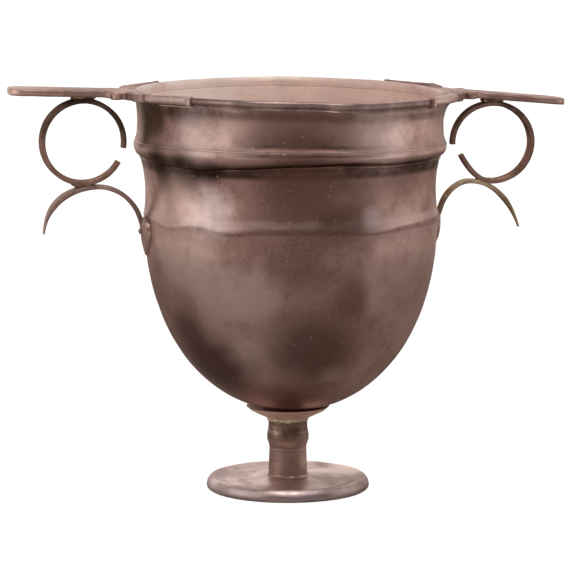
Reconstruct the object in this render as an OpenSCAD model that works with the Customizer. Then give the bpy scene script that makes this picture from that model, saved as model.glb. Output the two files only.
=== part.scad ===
// Kantharos: a deep two-handled drinking cup of raised silver on a low stem and disc foot.
// The origin is the centre of the foot's resting face; +X points to the right handle, +Z up.
// Every height is stacked from the floor, and each handle is drawn outward along +X
// from the bowl's axis and then turned to its side.

/* [Foot and stem] */
// Widest radius of the foot disc
foot_radius = 27.3; // [22:0.1:32]
// Height of the foot's upper edge above the floor
foot_height = 4.0; // [3:0.1:6]
// Radius of the foot's upper edge
foot_edge_radius = 25.9; // [21:0.1:27]
// Depth of the turned channel inside the foot's upper edge
foot_dish = 1.1; // [0.4:0.1:1.4]
// Radius of that channel
foot_dish_radius = 21.8; // [16:0.1:23]
// Height of the foot's middle, where the stem stands
foot_crown = 4.1; // [3.8:0.1:6]
// Depth of the hollow under the foot
foot_hollow = 1.4; // [0.5:0.1:1.8]
// Width of the ring that the foot rests on
foot_rest = 2.6; // [1.5:0.1:5]
// Stem between the foot and the collar
stem_length = 19.8; // [12:0.1:40]
// Radius of the stem at its ends
stem_radius = 6.5; // [5:0.1:9]
// Radius of the stem's swelling
stem_swelling = 6.97; // [5.5:0.01:10]
// Radius of the stem's waist, below the swelling
stem_waist = 6.2; // [4.6:0.05:8]
// Radius of the pegs that centre the stem in the collar and the foot
peg_radius = 3.2; // [1.5:0.1:4]
// Length of each peg
peg_length = 1.8; // [1:0.1:2]
// Clearance all round a peg
peg_clearance = 0.1; // [0.05:0.05:0.3]
// How far the solder reaches along the stem at its ends
seam_height = 0.8; // [0.4:0.1:1.6]

/* [Collar] */
// Radius of the dished collar under the bowl
collar_radius = 12.7; // [10:0.1:18]
// Height from the stem to the bottom of the bowl
collar_height = 2.9; // [2.6:0.1:6]
// Height from the stem to the collar's upper edge
collar_edge = 3.25; // [2.8:0.05:5]

/* [Bowl] */
// Sideways place of the bowl's axis from the foot's axis
bowl_shift = 1.0; // [0:0.1:2]
// Thickness of the raised wall
wall = 1.15; // [0.8:0.05:2]
// Greatest radius of the rounded lower body
body_radius = 48.7; // [40:0.1:60]
// Height of the rounded lower body
body_depth = 64.8; // [50:0.1:80]
// Fullness of the lower body: 2 is an ellipse, more is squarer
body_fullness = 2.13; // [1.8:0.01:2.8]
// Radius of the soft ridge above the lower body
ridge_radius = 48.95; // [48:0.05:52]
// Height of the ridge above the lower body
ridge_rise = 1.1; // [0.5:0.1:3]
// Radius of the drawn-in wall between the ridge and the moulding
waist_radius = 48.25; // [46:0.05:49.5]
// Height of the drawn-in wall
waist_height = 18.8; // [12:0.1:26]
// Radius under the bowl's moulding
moulding_root = 49.6; // [48:0.05:50.5]
// Radius of the moulding's crest
moulding_radius = 51.85; // [51:0.05:54]
// Height of the moulding
moulding_height = 9.3; // [7:0.1:12]
// Least radius of the neck
neck_radius = 50.7; // [49.5:0.05:51.2]
// Height of the neck
neck_height = 9.5; // [7:0.1:14]

/* [Lip] */
// Outer radius of the bowl's wall at the lip
lip_radius = 51.25; // [50.8:0.05:53]
// Height of the lip band
lip_height = 3.9; // [3.3:0.1:5]
// Thickness of the wall at the lip
lip_wall = 1.05; // [0.8:0.05:1.6]
// Depth of the smooth band inside the lip
lip_band = 3.1; // [2:0.1:3.2]
// How far the applied lip moulding stands out from the wall
lip_moulding = 0.75; // [0.4:0.05:1.5]
// Gap between each clasp and the lip moulding
clasp_gap = 0.35; // [0.2:0.05:1]

/* [Clasps of both handles] */
// Reach of each clasp arm round the rim from the handle's line, in degrees
clasp_angle = 40.7; // [30:0.1:60]
// Height of a clasp arm
clasp_height = 2.6; // [2:0.1:3.2]
// Thickness of a clasp arm at its end
clasp_end = 1.25; // [0.8:0.1:2]
// Thickness of the crescent where its arms begin
crescent_thick = 4.7; // [3.5:0.1:6]
// Direction of the notch where an arm begins, in degrees from the handle's line
notch_angle = 20.6; // [18:0.1:24]
// Direction in which the crescent's end blocks begin
block_angle = 14.5; // [12.5:0.1:16]
// Distance of the side knobs beyond the bowl's upper wall, along the handle
knob_reach = 8.125; // [6.5:0.025:10]
// Distance of the side knobs from the handle's line
knob_spread = 8.0; // [6:0.1:9]
// Radius of the side knobs
knob_radius = 1.9; // [1.2:0.1:2.4]
// Height of the side knobs
knob_height = 2.3; // [1.4:0.1:3]

/* [Left handle] */
// Height of the left clasp's top above the lip
left_clasp_rise = 0.3; // [-1.8:0.1:0.8]
// How far the left root runs down the neck
left_root_drop = 2.4; // [1.5:0.1:8]
// Height of the left thumb plate's top above the lip, over the ring
left_plate_rise = 1.0; // [-3:0.1:3]
// Upward slope of the left plate, in degrees
left_plate_slope = 2.0; // [-8:0.1:8]
// Thickness of the left plate
left_plate_thick = 2.35; // [1.6:0.05:3.5]
// Width of the left plate
left_plate_width = 13.4; // [10:0.1:18]
// Reach of the left plate's tip beyond the bowl's upper wall
left_plate_reach = 42.625; // [36:0.025:52]
// Distance of the left ring's centre beyond the bowl's upper wall
left_ring_reach = 18.125; // [16.5:0.025:21]
// Inner diameter of the left finger ring
left_ring_bore = 25.2; // [22:0.1:27]
// Strip width of the left finger ring
left_ring_width = 5.2; // [3:0.1:8]
// Gap filled by solder between the left plate and its ring
left_plate_solder_gap = 0.7; // [0.2:0.05:1.2]
// Height of the left ring's inside for its width
left_ring_flatness = 1; // [0.94:0.01:1.02]
// Distance of the left ring's lower end from its centre, sideways
left_ring_end = 11.6; // [10:0.1:12]
// Drop of that end below the ring's centre
left_ring_end_drop = 6.6; // [5.5:0.1:8]
// Direction of the left ring's upper end, in degrees below level
left_ring_high = 9.5; // [4:0.5:12]
// Reach of the left spur's tip beyond the bowl's upper wall
left_spur_reach = 31.325; // [26:0.025:38]
// Drop of the left spur's tip below the arch
left_spur_drop = 15.2; // [10:0.1:20]
// Greatest width of the left strut's leaf-shaped spur
left_spur_width = 7.2; // [4:0.1:10]
// Reach of the top of the left strut's arch beyond the bowl's upper wall
left_arch_reach = 13.325; // [10:0.025:17]
// Drop of the left arch's top below the ring's centre
left_arch_drop = 14.2; // [13.5:0.1:15]
// Fullness of the left spur's curve, from straight to round
left_spur_fullness = 0.95; // [0:0.05:1]
// Place of the solder under the left ring, inward from the ring's centre
left_solder_shift = 0.1; // [-2:0.1:4]

/* [Right handle] */
// Height of the right clasp's top above the lip
right_clasp_rise = -1.4; // [-1.8:0.1:0.8]
// How far the right root runs down the neck
right_root_drop = 6.0; // [1.5:0.1:8]
// Height of the right thumb plate's top above the lip, over the ring
right_plate_rise = -2.3; // [-3:0.1:3]
// Upward slope of the right plate, in degrees
right_plate_slope = -5.3; // [-8:0.1:8]
// Thickness of the right plate
right_plate_thick = 2.15; // [1.6:0.05:3.5]
// Width of the right plate
right_plate_width = 13; // [10:0.1:18]
// Reach of the right plate's tip beyond the bowl's upper wall
right_plate_reach = 42.025; // [36:0.025:52]
// Distance of the right ring's centre beyond the bowl's upper wall
right_ring_reach = 17.425; // [16.5:0.025:21]
// Inner diameter of the right finger ring
right_ring_bore = 25.4; // [22:0.1:27]
// Strip width of the right finger ring
right_ring_width = 4.5; // [3:0.1:8]
// Gap filled by solder between the right plate and its ring
right_plate_solder_gap = 0.7; // [0.2:0.05:1.2]
// Height of the right ring's inside for its width
right_ring_flatness = 0.96; // [0.94:0.01:1.02]
// Distance of the right ring's lower end from its centre, sideways
right_ring_end = 10.7; // [10:0.1:12]
// Drop of that end below the ring's centre
right_ring_end_drop = 4.1; // [3:0.1:8]
// Direction of the right ring's upper end, in degrees below level
right_ring_high = 2; // [0:0.5:4]
// Reach of the right spur's tip beyond the bowl's upper wall
right_spur_reach = 26.925; // [24:0.025:34]
// Drop of the right spur's tip below the arch
right_spur_drop = 15.8; // [10:0.1:20]
// Greatest width of the right strut's leaf-shaped spur
right_spur_width = 4.6; // [4:0.1:10]
// Reach of the top of the right strut's arch beyond the bowl's upper wall
right_arch_reach = 9.725; // [8.5:0.025:15]
// Drop of the right arch's top below the ring's centre
right_arch_drop = 12.2; // [11.5:0.1:15]
// Fullness of the right spur's curve, from straight to round
right_spur_fullness = 0.15; // [0:0.05:1]
// Place of the solder under the right ring, inward from the ring's centre
right_solder_shift = 2.0; // [-2:0.1:4]

/* [Rings, struts and leaves of both handles] */
// Thickness of a finger ring's strip on its outer side
ring_thick = 1.75; // [1:0.05:2.2]
// Thickness of that strip at its ends
ring_end_thick = 1.55; // [0.8:0.05:2.2]
// Gap filled by solder where a ring stands on its strut
strut_solder_gap = 0.25; // [0.1:0.05:0.3]
// Thickness of a strut's strip
strut_thick = 1.5; // [1:0.05:2.2]
// Width of a strut at its arch
strut_width = 3.2; // [2:0.1:5]
// Length of a solder joint
solder_length = 6.4; // [3:0.1:8]
// Width of a leaf plate
leaf_width = 13; // [9:0.1:18]
// Height of a leaf plate
leaf_height = 12.6; // [9:0.1:16]
// Height of a leaf plate's top above the ridge
leaf_rise = -0.4; // [-4:0.1:2]
// How far a leaf plate stands out at its top
leaf_proud = 1.9; // [1.2:0.1:2.6]
// How far a leaf plate stands out at its tip
leaf_tip_proud = 1.2; // [0.6:0.1:1.6]
// Length of the strut's tongue down the leaf plate
tongue_length = 4.2; // [2:0.1:7]

/* [Hidden] */
$fn = 96;
curve_steps = 12;
body_steps = 36;
ring_steps = 44;
small = 0.01;
plenty = 20;

silver = [0.60, 0.50, 0.47];
warm_silver = [0.68, 0.56, 0.51];
dark_silver = [0.42, 0.33, 0.29];
solder_grey = [0.55, 0.48, 0.40];

// Heights, stacked from the floor
stem_base = foot_crown;
collar_base = stem_base + stem_length;
bowl_base = collar_base + collar_height;
body_top = bowl_base + body_depth;
ridge_z = body_top + ridge_rise;
moulding_z = ridge_z + waist_height;
neck_z = moulding_z + moulding_height;
lip_z = neck_z + neck_height;
lip_top = lip_z + lip_height;
left_plate_z = lip_top + left_plate_rise;
right_plate_z = lip_top + right_plate_rise;
leaf_top = ridge_z + leaf_rise;

// Handles stand off the bowl's upper wall, taken midway between the neck and the moulding
wall_reach = (neck_radius + moulding_radius) / 2;
knob_at = wall_reach + knob_reach;

// One handle's own sizes, in the order that the handle modules read them
left = [left_plate_z, left_plate_slope, left_plate_thick, left_plate_width,
    wall_reach + left_plate_reach, wall_reach + left_ring_reach, left_ring_bore / 2, left_ring_width,
    left_plate_solder_gap, left_ring_flatness, [left_ring_end, left_ring_end_drop], left_ring_high,
    wall_reach + left_spur_reach, left_spur_drop, left_spur_width, wall_reach + left_arch_reach,
    left_arch_drop, left_spur_fullness, left_solder_shift, left_clasp_rise, left_root_drop];
right = [right_plate_z, right_plate_slope, right_plate_thick, right_plate_width,
    wall_reach + right_plate_reach, wall_reach + right_ring_reach, right_ring_bore / 2, right_ring_width,
    right_plate_solder_gap, right_ring_flatness, [right_ring_end, right_ring_end_drop], right_ring_high,
    wall_reach + right_spur_reach, right_spur_drop, right_spur_width, wall_reach + right_arch_reach,
    right_arch_drop, right_spur_fullness, right_solder_shift, right_clasp_rise, right_root_drop];
function plate_top(h, d) = h[0] + (d - h[5]) * tan(h[1]);
function plate_under(h, d) = plate_top(h, d) - h[2];
function plate_width(h) = h[3];
function plate_reach(h) = h[4];
function ring_reach(h) = h[5];
function ring_width(h) = h[7];
function ring_z(h) = plate_under(h, h[5]) - h[8] - h[6] * h[9] - ring_thick;
function spur_reach(h) = h[12];
function spur_drop(h) = h[13];
function spur_width(h) = h[14];
function arch_reach(h) = h[15];
function arch_top(h) = ring_z(h) - h[16];
function spur_fullness(h) = h[17];
function solder_reach(h) = h[5] - h[18];
function clasp_high(h) = lip_top + h[19];
function clasp_low(h) = clasp_high(h) - clasp_height;
function root_drop(h) = h[20];

// Points of a cubic curve from a to d with the handles b and c; its first point is left out
function curve(a, b, c, d, steps = curve_steps) = [for (i = [1 : steps])
    let (t = i / steps, u = 1 - t)
    u * u * u * a + 3 * u * u * t * b + 3 * u * t * t * c + t * t * t * d];

// Points of an arc about c, from angle a to angle b
function arc(c, r, a, b, steps = curve_steps) = [for (i = [0 : steps])
    c + r * [cos(a + (b - a) * i / steps), sin(a + (b - a) * i / steps)]];

function reversed(p) = [for (i = [len(p) - 1 : -1 : 0]) p[i]];

// The path p moved sideways by t to its left
function beside(p, t) = [for (i = [0 : len(p) - 1])
    let (d = p[min(i + 1, len(p) - 1)] - p[max(i - 1, 0)], n = [-d.y, d.x] / norm(d))
    p[i] + t * n];

// Outline of the lower body from its bottom to the ridge
function body_point(a) = [body_radius * pow(cos(a), 2 / body_fullness),
    body_top - body_depth * pow(sin(a), 2 / body_fullness)];
body_curve = concat(
    [[0, bowl_base]],
    [for (i = [1 : body_steps]) let (a = 90 - 84 * i / body_steps) body_point(a)],
    curve(body_point(6), [body_radius, body_top - 1.5], [ridge_radius, ridge_z - 1.6],
        [ridge_radius, ridge_z]));

// Drawn-in wall above the ridge
waist_handle = (8 * waist_radius - ridge_radius - moulding_root) / 6;
waist_curve = curve([ridge_radius, ridge_z], [waist_handle, ridge_z + 0.28 * waist_height],
    [waist_handle, moulding_z - 0.34 * waist_height], [moulding_root, moulding_z], 16);

// Moulding: a fine bead, a sharp lower corner, a full round and an incised line near its crest
bead = 0.3;
bead_height = 0.9;
corner_out = 0.75;
corner_rise = 1.3;
crest_rise = 0.5 * moulding_height;
line_rise = crest_rise + 1.6;
line_depth = 0.22;
crest = [moulding_radius, moulding_z + crest_rise];
corner = [moulding_root + corner_out, moulding_z + corner_rise];
neck_start = [neck_radius + 0.12, neck_z];
bead_curve = [[moulding_root + bead, moulding_z + 0.3 * bead_height],
    [moulding_root + bead, moulding_z + 0.7 * bead_height],
    [moulding_root + 0.1, moulding_z + bead_height]];
round_curve = concat([corner], curve(corner, corner + [0.75, 0.35],
    crest - [0, 1.5], crest));
shoulder_curve = curve(crest, crest + [0, 1.7], neck_start - [0, 2.4], neck_start);
function carved(p, z) = [for (q = p) abs(q.y - z) < 0.22 ? q - [line_depth, 0] : q];

// Neck, flaring to the straight wall of the lip
neck_curve = curve(neck_start, [neck_radius - 0.1, neck_z + 0.32 * neck_height],
    [neck_radius - 0.02, lip_z - 0.3 * neck_height], [lip_radius, lip_z], 14);

outer_path = concat(body_curve, waist_curve, bead_curve, round_curve,
    carved(shoulder_curve, moulding_z + line_rise), neck_curve);
plain_path = concat(body_curve, waist_curve, round_curve, shoulder_curve, neck_curve);

// Inside of the wall: a smooth band below the lip, an incised line and a bevel into the neck
inner_lip = lip_radius - lip_wall;
band_z = lip_top - lip_band;
bevel_drop = 1.5;
inner_path = [for (q = beside(plain_path, wall)) if (q.y < band_z - bevel_drop) [max(q.x, 0), q.y]];
lip_round = 0.35;
inner_lip_path = [[inner_lip - 0.12, band_z - 0.35], [inner_lip + 0.12, band_z - 0.2],
    [inner_lip + 0.12, band_z], [inner_lip, band_z + 0.12]];

// The bowl as if it were filled, for cutting what is seated on it
module bowl_mass() {
    translate([bowl_shift, 0, 0]) rotate_extrude()
        polygon(concat(outer_path, [[lip_radius, lip_top + 3], [0, lip_top + 3]]));
}

module bowl() {
    color(silver) translate([bowl_shift, 0, 0]) rotate_extrude()
        polygon(concat(outer_path, [[lip_radius, lip_top]],
            reversed(arc([inner_lip + lip_round, lip_top - lip_round], lip_round, 180, 90, 5)) ,
            reversed(inner_lip_path), reversed(inner_path)));
}

// Applied lip moulding: a half round over a fine bead
module lip_moulding_section() {
    half = 1.15;
    full = lip_top - half;
    polygon(concat([[lip_radius, lip_top - lip_height + 0.75],
            [lip_radius + 0.65 * lip_moulding, lip_top - lip_height + 0.85],
            [lip_radius + 0.75 * lip_moulding, lip_top - lip_height + 1.05],
            [lip_radius + 0.65 * lip_moulding, lip_top - lip_height + 1.3],
            [lip_radius + 0.3 * lip_moulding, lip_top - lip_height + 1.4]],
        [for (i = [0 : curve_steps]) let (a = -75 + 165 * i / curve_steps)
            [lip_radius + lip_moulding * cos(a), full + half * sin(a)]],
        [[lip_radius, lip_top]]));
}

module lip_moulding(side) {
    edge = clasp_angle + clasp_gap / lip_radius * 180 / PI;
    color(silver) translate([bowl_shift, 0, 0]) rotate([0, 0, side + edge])
        rotate_extrude(angle = 180 - 2 * edge) lip_moulding_section();
}

module lip_moulding_front() lip_moulding(180);

module lip_moulding_back() lip_moulding(0);

// Dished collar, cut to the bowl that it carries and bored for the stem's peg
module bowl_collar() {
    edge_z = collar_base + collar_edge;
    profile = concat([[0, collar_base], [stem_radius + 0.2, collar_base]],
        curve([stem_radius + 0.2, collar_base], [stem_radius + 2.4, collar_base + 1.0],
            [collar_radius - 1.4, edge_z - 1.2], [collar_radius, edge_z - 0.35], 10),
        [[collar_radius, edge_z], [collar_radius - 1.5, edge_z + 1.5], [0, edge_z + 1.5]]);
    color(dark_silver) difference() {
        rotate_extrude() polygon(profile);
        bowl_mass();
        translate([0, 0, collar_base - 1])
            cylinder(r = peg_radius + peg_clearance, h = peg_length + peg_clearance + 1);
    }
}

// Turned stem with a swelling over a waist, and a centring peg at each end
module stem() {
    swell_top = collar_base - 0.24 * stem_length;
    swell_low = collar_base - 0.375 * stem_length;
    step = 0.3;
    waist_z = stem_base + 0.47 * stem_length;
    profile = concat([[0, stem_base], [stem_radius, stem_base]],
        curve([stem_radius, stem_base], [stem_radius + 0.02, stem_base + 0.2 * stem_length],
            [stem_waist, waist_z - 0.14 * stem_length], [stem_waist, waist_z]),
        curve([stem_waist, waist_z], [stem_waist, waist_z + 0.07 * stem_length],
            [stem_swelling - 0.4, swell_low - 0.06 * stem_length],
            [stem_swelling - 0.22, swell_low - step]),
        [[stem_swelling - 0.05, swell_low]],
        curve([stem_swelling - 0.05, swell_low], [stem_swelling + 0.04, swell_low + 0.8],
            [stem_swelling, swell_top - 0.6], [stem_swelling - 0.1, swell_top], 6),
        curve([stem_swelling - 0.1, swell_top], [stem_swelling - 0.35, swell_top + 0.4],
            [stem_radius, swell_top + 1.6], [stem_radius, collar_base], 8),
        [[0, collar_base]]);
    color(dark_silver) {
        rotate_extrude() polygon(profile);
        translate([0, 0, stem_base - peg_length])
            cylinder(r = peg_radius, h = stem_length + 2 * peg_length);
    }
}

// Solder run round the top of the stem, under the collar
module stem_solder_seam() {
    color(solder_grey) difference() {
        rotate_extrude() polygon(concat([[0, collar_base - seam_height]],
            curve([0, collar_base - seam_height], [stem_radius, collar_base - seam_height],
                [stem_radius + 0.35, collar_base - 0.7 * seam_height],
                [stem_radius + 0.5, collar_base + 0.15], 6),
            [[0, collar_base + 0.15]]));
        stem();
        bowl_collar();
        cylinder(r = stem_radius - small, h = lip_top);
    }
}

module foot_disc() {
    rest_outer = foot_radius - 0.9;
    color(warm_silver) difference() {
        rotate_extrude() polygon(concat([[0, 0], [rest_outer, 0]],
            [[foot_radius - 0.45, 0.35], [foot_radius - 0.35, 0.65], [foot_radius - 0.15, 0.75]],
            curve([foot_radius - 0.15, 0.75], [foot_radius + 0.15, 1.5],
                [foot_radius - 0.35, 3.1], [foot_edge_radius + 0.25, foot_height - 0.15]),
            [[foot_edge_radius, foot_height]],
            curve([foot_edge_radius, foot_height], [foot_edge_radius - 1.4, foot_height - 0.1],
                [foot_dish_radius + 1.6, foot_height - foot_dish],
                [foot_dish_radius, foot_height - foot_dish]),
            [[foot_dish_radius - 0.4, foot_height - foot_dish + 0.25]],
            curve([foot_dish_radius - 0.4, foot_height - foot_dish + 0.25],
                [foot_dish_radius - 4, foot_height - foot_dish + 0.9],
                [stem_radius + 5, foot_crown], [stem_radius + 1, foot_crown]),
            [[0, foot_crown]]));
        translate([0, 0, -1]) cylinder(r = rest_outer - foot_rest, h = foot_hollow + 1);
        translate([0, 0, foot_crown - peg_length - peg_clearance])
            cylinder(r = peg_radius + peg_clearance, h = plenty);
    }
}

// Solder fillet where the stem stands on the foot
module foot_solder_fillet() {
    reach = stem_radius + seam_height;
    color(solder_grey) difference() {
        rotate_extrude() polygon(concat([[stem_radius - 0.5, stem_base], [reach, stem_base]],
            curve([reach, stem_base], [stem_radius + 0.3, stem_base + 0.15],
                [stem_radius + 0.1, stem_base + 0.4 * seam_height],
                [stem_radius, stem_base + seam_height], 6),
            [[stem_radius - 0.5, stem_base + seam_height]]));
        stem();
    }
}

// A handle's part, drawn along +X from the bowl's axis, on its side of the bowl
module on_side(turn) {
    translate([bowl_shift, 0, 0]) rotate([0, 0, turn]) children();
}

module along_y(width) {
    rotate([90, 0, 0]) translate([0, 0, -width / 2]) linear_extrude(width) children();
}

// The bowl's mass about its own axis, for cutting a handle's parts
module own_mass() {
    translate([-bowl_shift, 0, 0]) bowl_mass();
}

// The clasp's outer edge is one arc; its centre lies on the handle's line, outside the bowl's axis
notch_reach = lip_radius + crescent_thick;
end_reach = lip_radius + clasp_end;
clasp_centre = (notch_reach * notch_reach - end_reach * end_reach)
    / (2 * (notch_reach * cos(notch_angle) - end_reach * cos(clasp_angle)));
clasp_arc = norm([notch_reach * cos(notch_angle) - clasp_centre, notch_reach * sin(notch_angle)]);
// Distance of that edge from the bowl's axis, and its direction from the arc's centre
function clasp_reach(a) = clasp_centre * cos(a) + sqrt(pow(clasp_arc, 2) - pow(clasp_centre * sin(a), 2));
function from_centre(a) = atan2(clasp_reach(a) * sin(a), clasp_reach(a) * cos(a) - clasp_centre);

// A length of clasp arm between two directions, cut to the lip later; rounded outside
module arm_length(a, b, low, high, inset) {
    middle = (low + high) / 2;
    half = (high - low) / 2;
    edge = clasp_arc - inset;
    translate([clasp_centre, 0, 0]) rotate([0, 0, from_centre(a)])
        rotate_extrude(angle = from_centre(b) - from_centre(a)) polygon(concat([[edge - 8, low]],
            [for (i = [0 : 8]) let (t = -90 + 180 * i / 8)
                [edge - 0.5 + 0.5 * cos(t), middle + half * sin(t)]],
            [[edge - 8, high]]));
}

// Arms that taper along the lip, each with a fine bead at its end and a notch at its root
module clasp(h) {
    low = clasp_low(h);
    high = clasp_high(h);
    for (s = [0, 1]) mirror([0, s, 0]) {
        arm_length(notch_angle - 2, notch_angle + 2, low + 0.2, high - 0.35, 0.8);
        arm_length(notch_angle + 0.7, clasp_angle - 0.5, low, high, 0);
        arm_length(clasp_angle - 1.1, clasp_angle, low - 0.12, high + 0.1, -0.15);
    }
}

// Plan of the thumb plate with its waist and the side knobs
function plate_half(h) = let (w = plate_width(h) / 2, tip = plate_reach(h), r = 5.3, x = ring_reach(h))
    concat(arc([tip - r, w - r], r, 0, 90, 8),
        [[x + 4, w - 0.15], [x - 3, w - 0.7]],
        curve([x - 3, w - 0.7], [knob_at + 4.4, w - 0.9], [knob_at + 2.9, knob_spread - 2.6],
            [knob_at + knob_radius, knob_spread - 0.4], 8));

// Plan of the crescent from the recess beside the knob over two end blocks to the notch
function at(r, a) = r * [cos(a), sin(a)];
function crescent_half() = let (a = block_angle, b = notch_angle, m = (a + b) / 2, r = clasp_reach(m))
    [at(r - 0.2, a - 4), at(r - 0.2, a - 0.6), at(r + 0.5, a), at(r + 0.35, m - 0.3), at(r - 0.15, m),
    at(r + 0.25, m + 0.3), at(r + 0.05, b - 0.4), at(lip_radius - 1, b - 0.4)];
function mirrored(p) = [for (q = reversed(p)) [q.x, -q.y]];

module plate_plan(h) {
    half = concat(plate_half(h), [[knob_at - 0.6, knob_spread]], crescent_half());
    polygon(concat(half, mirrored(half)));
}

// Side view of the thumb plate and its root
module plate_side(h) {
    tip = plate_reach(h) + 1;
    x = ring_reach(h);
    high = clasp_high(h);
    low = clasp_low(h);
    under = plate_under(h, x - 5);
    top = concat([[lip_radius - 6, high], [lip_radius + 1.5, high]],
        curve([lip_radius + 1.5, high], [lip_radius + 6, high],
            [x - 9, plate_top(h, x - 9)], [x - 4, plate_top(h, x - 4)], 8),
        [[tip, plate_top(h, tip)]]);
    bottom = concat([[tip, plate_under(h, tip)], [x - 5, under]],
        curve([x - 5, under], [x - 8, plate_under(h, x - 8)],
            [lip_radius + 7, low], [lip_radius + 4, low], 8),
        [[lip_radius - 6, low]]);
    polygon(concat(top, bottom));
}

// Fillet under the root, running down on to the neck
module root_fillet(h) {
    low = clasp_low(h);
    along_y(2 * knob_spread) polygon(concat([[lip_radius - 3, low + 0.5], [lip_radius + 4.5, low + 0.5]],
        [[lip_radius + 4.5, low + 0.1]],
        curve([lip_radius + 4.5, low + 0.1], [lip_radius + 1.5, low - 0.12 * root_drop(h)],
            [lip_radius + 0.4, low - 0.35 * root_drop(h)], [lip_radius - 0.4, low - root_drop(h)], 10),
        [[lip_radius - 3, low - root_drop(h)]]));
}

module thumb_plate(h) {
    difference() {
        union() {
            intersection() {
                translate([0, 0, lip_top - plenty]) linear_extrude(2 * plenty) plate_plan(h);
                along_y(8 * knob_spread) plate_side(h);
            }
            for (s = [-1, 1]) translate([knob_at, s * knob_spread, clasp_low(h) + 0.15])
                cylinder(r = knob_radius, h = knob_height);
            root_fillet(h);
            clasp(h);
        }
        own_mass();
    }
}

// Middle line of an open finger ring's strip: over the top from the upper end
// to straight below the centre, then up to the lower end, which may be bent inward
function ring_line(h) = let (half = ring_thick / 2, rx = h[6] + half, rz = h[6] * h[9] + half,
        low = [0, -rz], end = [-h[10].x, -h[10].y], reach = 0.36 * norm(end - low))
    concat([for (i = [0 : ring_steps]) let (a = 180 + h[11] - (270 + h[11]) * i / ring_steps)
            [rx * cos(a), rz * sin(a)]],
        curve(low, low - [reach, 0], end + reach * [0.5, -0.866], end, 14));
function ring_half(n, i) = (ring_end_thick + (ring_thick - ring_end_thick) * sin(180 * i / n)) / 2;
function ring_edge(h, side, gap) = let (line = ring_line(h), n = len(line) - 1)
    [for (i = [0 : n]) beside(line, side * (ring_half(n, i) + gap))[i] + [ring_reach(h), ring_z(h)]];

// Open finger ring of flat strip, narrower and thinner toward its opening
module finger_ring(h) {
    w = ring_width(h);
    r = h[6] + 3;
    intersection() {
        along_y(w + 2) polygon(concat(ring_edge(h, 1, 0), reversed(ring_edge(h, -1, 0))));
        translate([ring_reach(h), 0, 0]) linear_extrude(lip_top + plenty)
            polygon([[-r, -0.33 * w], [0, -0.46 * w], [r, -w / 2],
                [r, w / 2], [0, 0.46 * w], [-r, 0.33 * w]]);
    }
}

// The space inside a ring's outer edge, widened by a gap
module ring_space(h, gap) along_y(plenty) polygon(ring_edge(h, 1, gap));

// Middle line of a strut: spur tip, arch, and down on to the leaf plate's face
leaf_face = ridge_radius + leaf_proud;
function strut_line(h) = let (top = arch_top(h) - strut_thick / 2, a = arch_reach(h), s = spur_reach(h),
        f = spur_fullness(h), tip = [s, top - spur_drop(h)], end = [leaf_face + 0.1, leaf_top + 0.6])
    concat([tip],
        curve(tip, [s - (0.2 - 0.17 * f) * (s - a), top - 0.4 * spur_drop(h)],
            [a + (0.43 + 0.18 * f) * (s - a), top], [a, top], 16),
        curve([a, top], [a - 0.46 * (a - end.x), top],
            [end.x + 0.13 * (a - end.x), end.y + 0.55 * (top - end.y)], end, 14));
function strut_thin(n, i) = strut_thick / 2 * min(1, 0.3 + 3.2 * i / n);
function strut_outline(h) = let (line = strut_line(h), n = len(line) - 1,
        up = [for (i = [0 : n]) beside(line, -strut_thin(n, i))[i]],
        down = [for (i = [0 : n]) beside(line, strut_thin(n, i))[i]])
    concat(up, [[leaf_face - 1, leaf_top], [leaf_face - 1, leaf_top + 0.6 - tongue_length],
        [leaf_face + 0.4 * strut_thick, leaf_top + 0.6 - tongue_length],
        [leaf_face + 0.5 * strut_thick, leaf_top + 0.2 - 0.5 * tongue_length]], reversed(down));

module strut_side(h) polygon(strut_outline(h));

// Plan of a strut: narrow at the bowl, a leaf-shaped spur beyond the arch
module strut_plan(h) {
    a = arch_reach(h);
    s = spur_reach(h);
    w = spur_width(h) / 2;
    widest = a + 0.6 * (s - a);
    half = concat([[s + 2, 0.3]], curve([s + 2, 0.3], [s - 0.4, 0.48 * w], [widest + 2.6, w], [widest, w]),
        curve([widest, w], [widest - 3, w], [a + 3, strut_width / 2], [a, strut_width / 2], 8),
        [[leaf_face + strut_thick, strut_width / 2], [leaf_face - 2, 0.3 * strut_width]]);
    polygon(concat(half, mirrored(half)));
}

module spur_strut(h) {
    difference() {
        intersection() {
            along_y(plenty) strut_side(h);
            linear_extrude(lip_top) strut_plan(h);
        }
        leaf_mass();
        ring_space(h, strut_solder_gap);
    }
}

// Outer face of a leaf plate, thinning toward its tip
leaf_low = leaf_top - leaf_height;
function body_r(z) = z > body_top ? ridge_radius
    : body_radius * pow(1 - pow((body_top - z) / body_depth, body_fullness), 1 / body_fullness);
function leaf_r(z) =
    body_r(z) + leaf_tip_proud + (leaf_proud - leaf_tip_proud) * (z - leaf_low) / leaf_height;

module leaf_mass() {
    steps = 10;
    rotate_extrude() polygon(concat([[0, leaf_low - 1]],
        [for (i = [0 : steps]) let (z = leaf_low - 1 + (leaf_height + 1) * i / steps)
            [min(leaf_r(z), leaf_face), z]],
        [[0, leaf_top]]));
}

// Ivy-leaf outline: two lobes above, a point below
module leaf_outline() {
    w = leaf_width / 2;
    half = concat([[0, -leaf_height]],
        curve([0, -leaf_height], [0.35 * w, -0.78 * leaf_height], [0.98 * w, -0.62 * leaf_height],
            [w, -0.36 * leaf_height], 8),
        curve([w, -0.36 * leaf_height], [w, -0.1 * leaf_height], [0.72 * w, 0], [0.42 * w, 0], 8),
        curve([0.42 * w, 0], [0.22 * w, 0], [0.1 * w, -0.04 * leaf_height], [0, -0.09 * leaf_height], 5));
    polygon(concat(half, [for (i = [len(half) - 2 : -1 : 1]) [-half[i].x, half[i].y]]));
}

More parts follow.
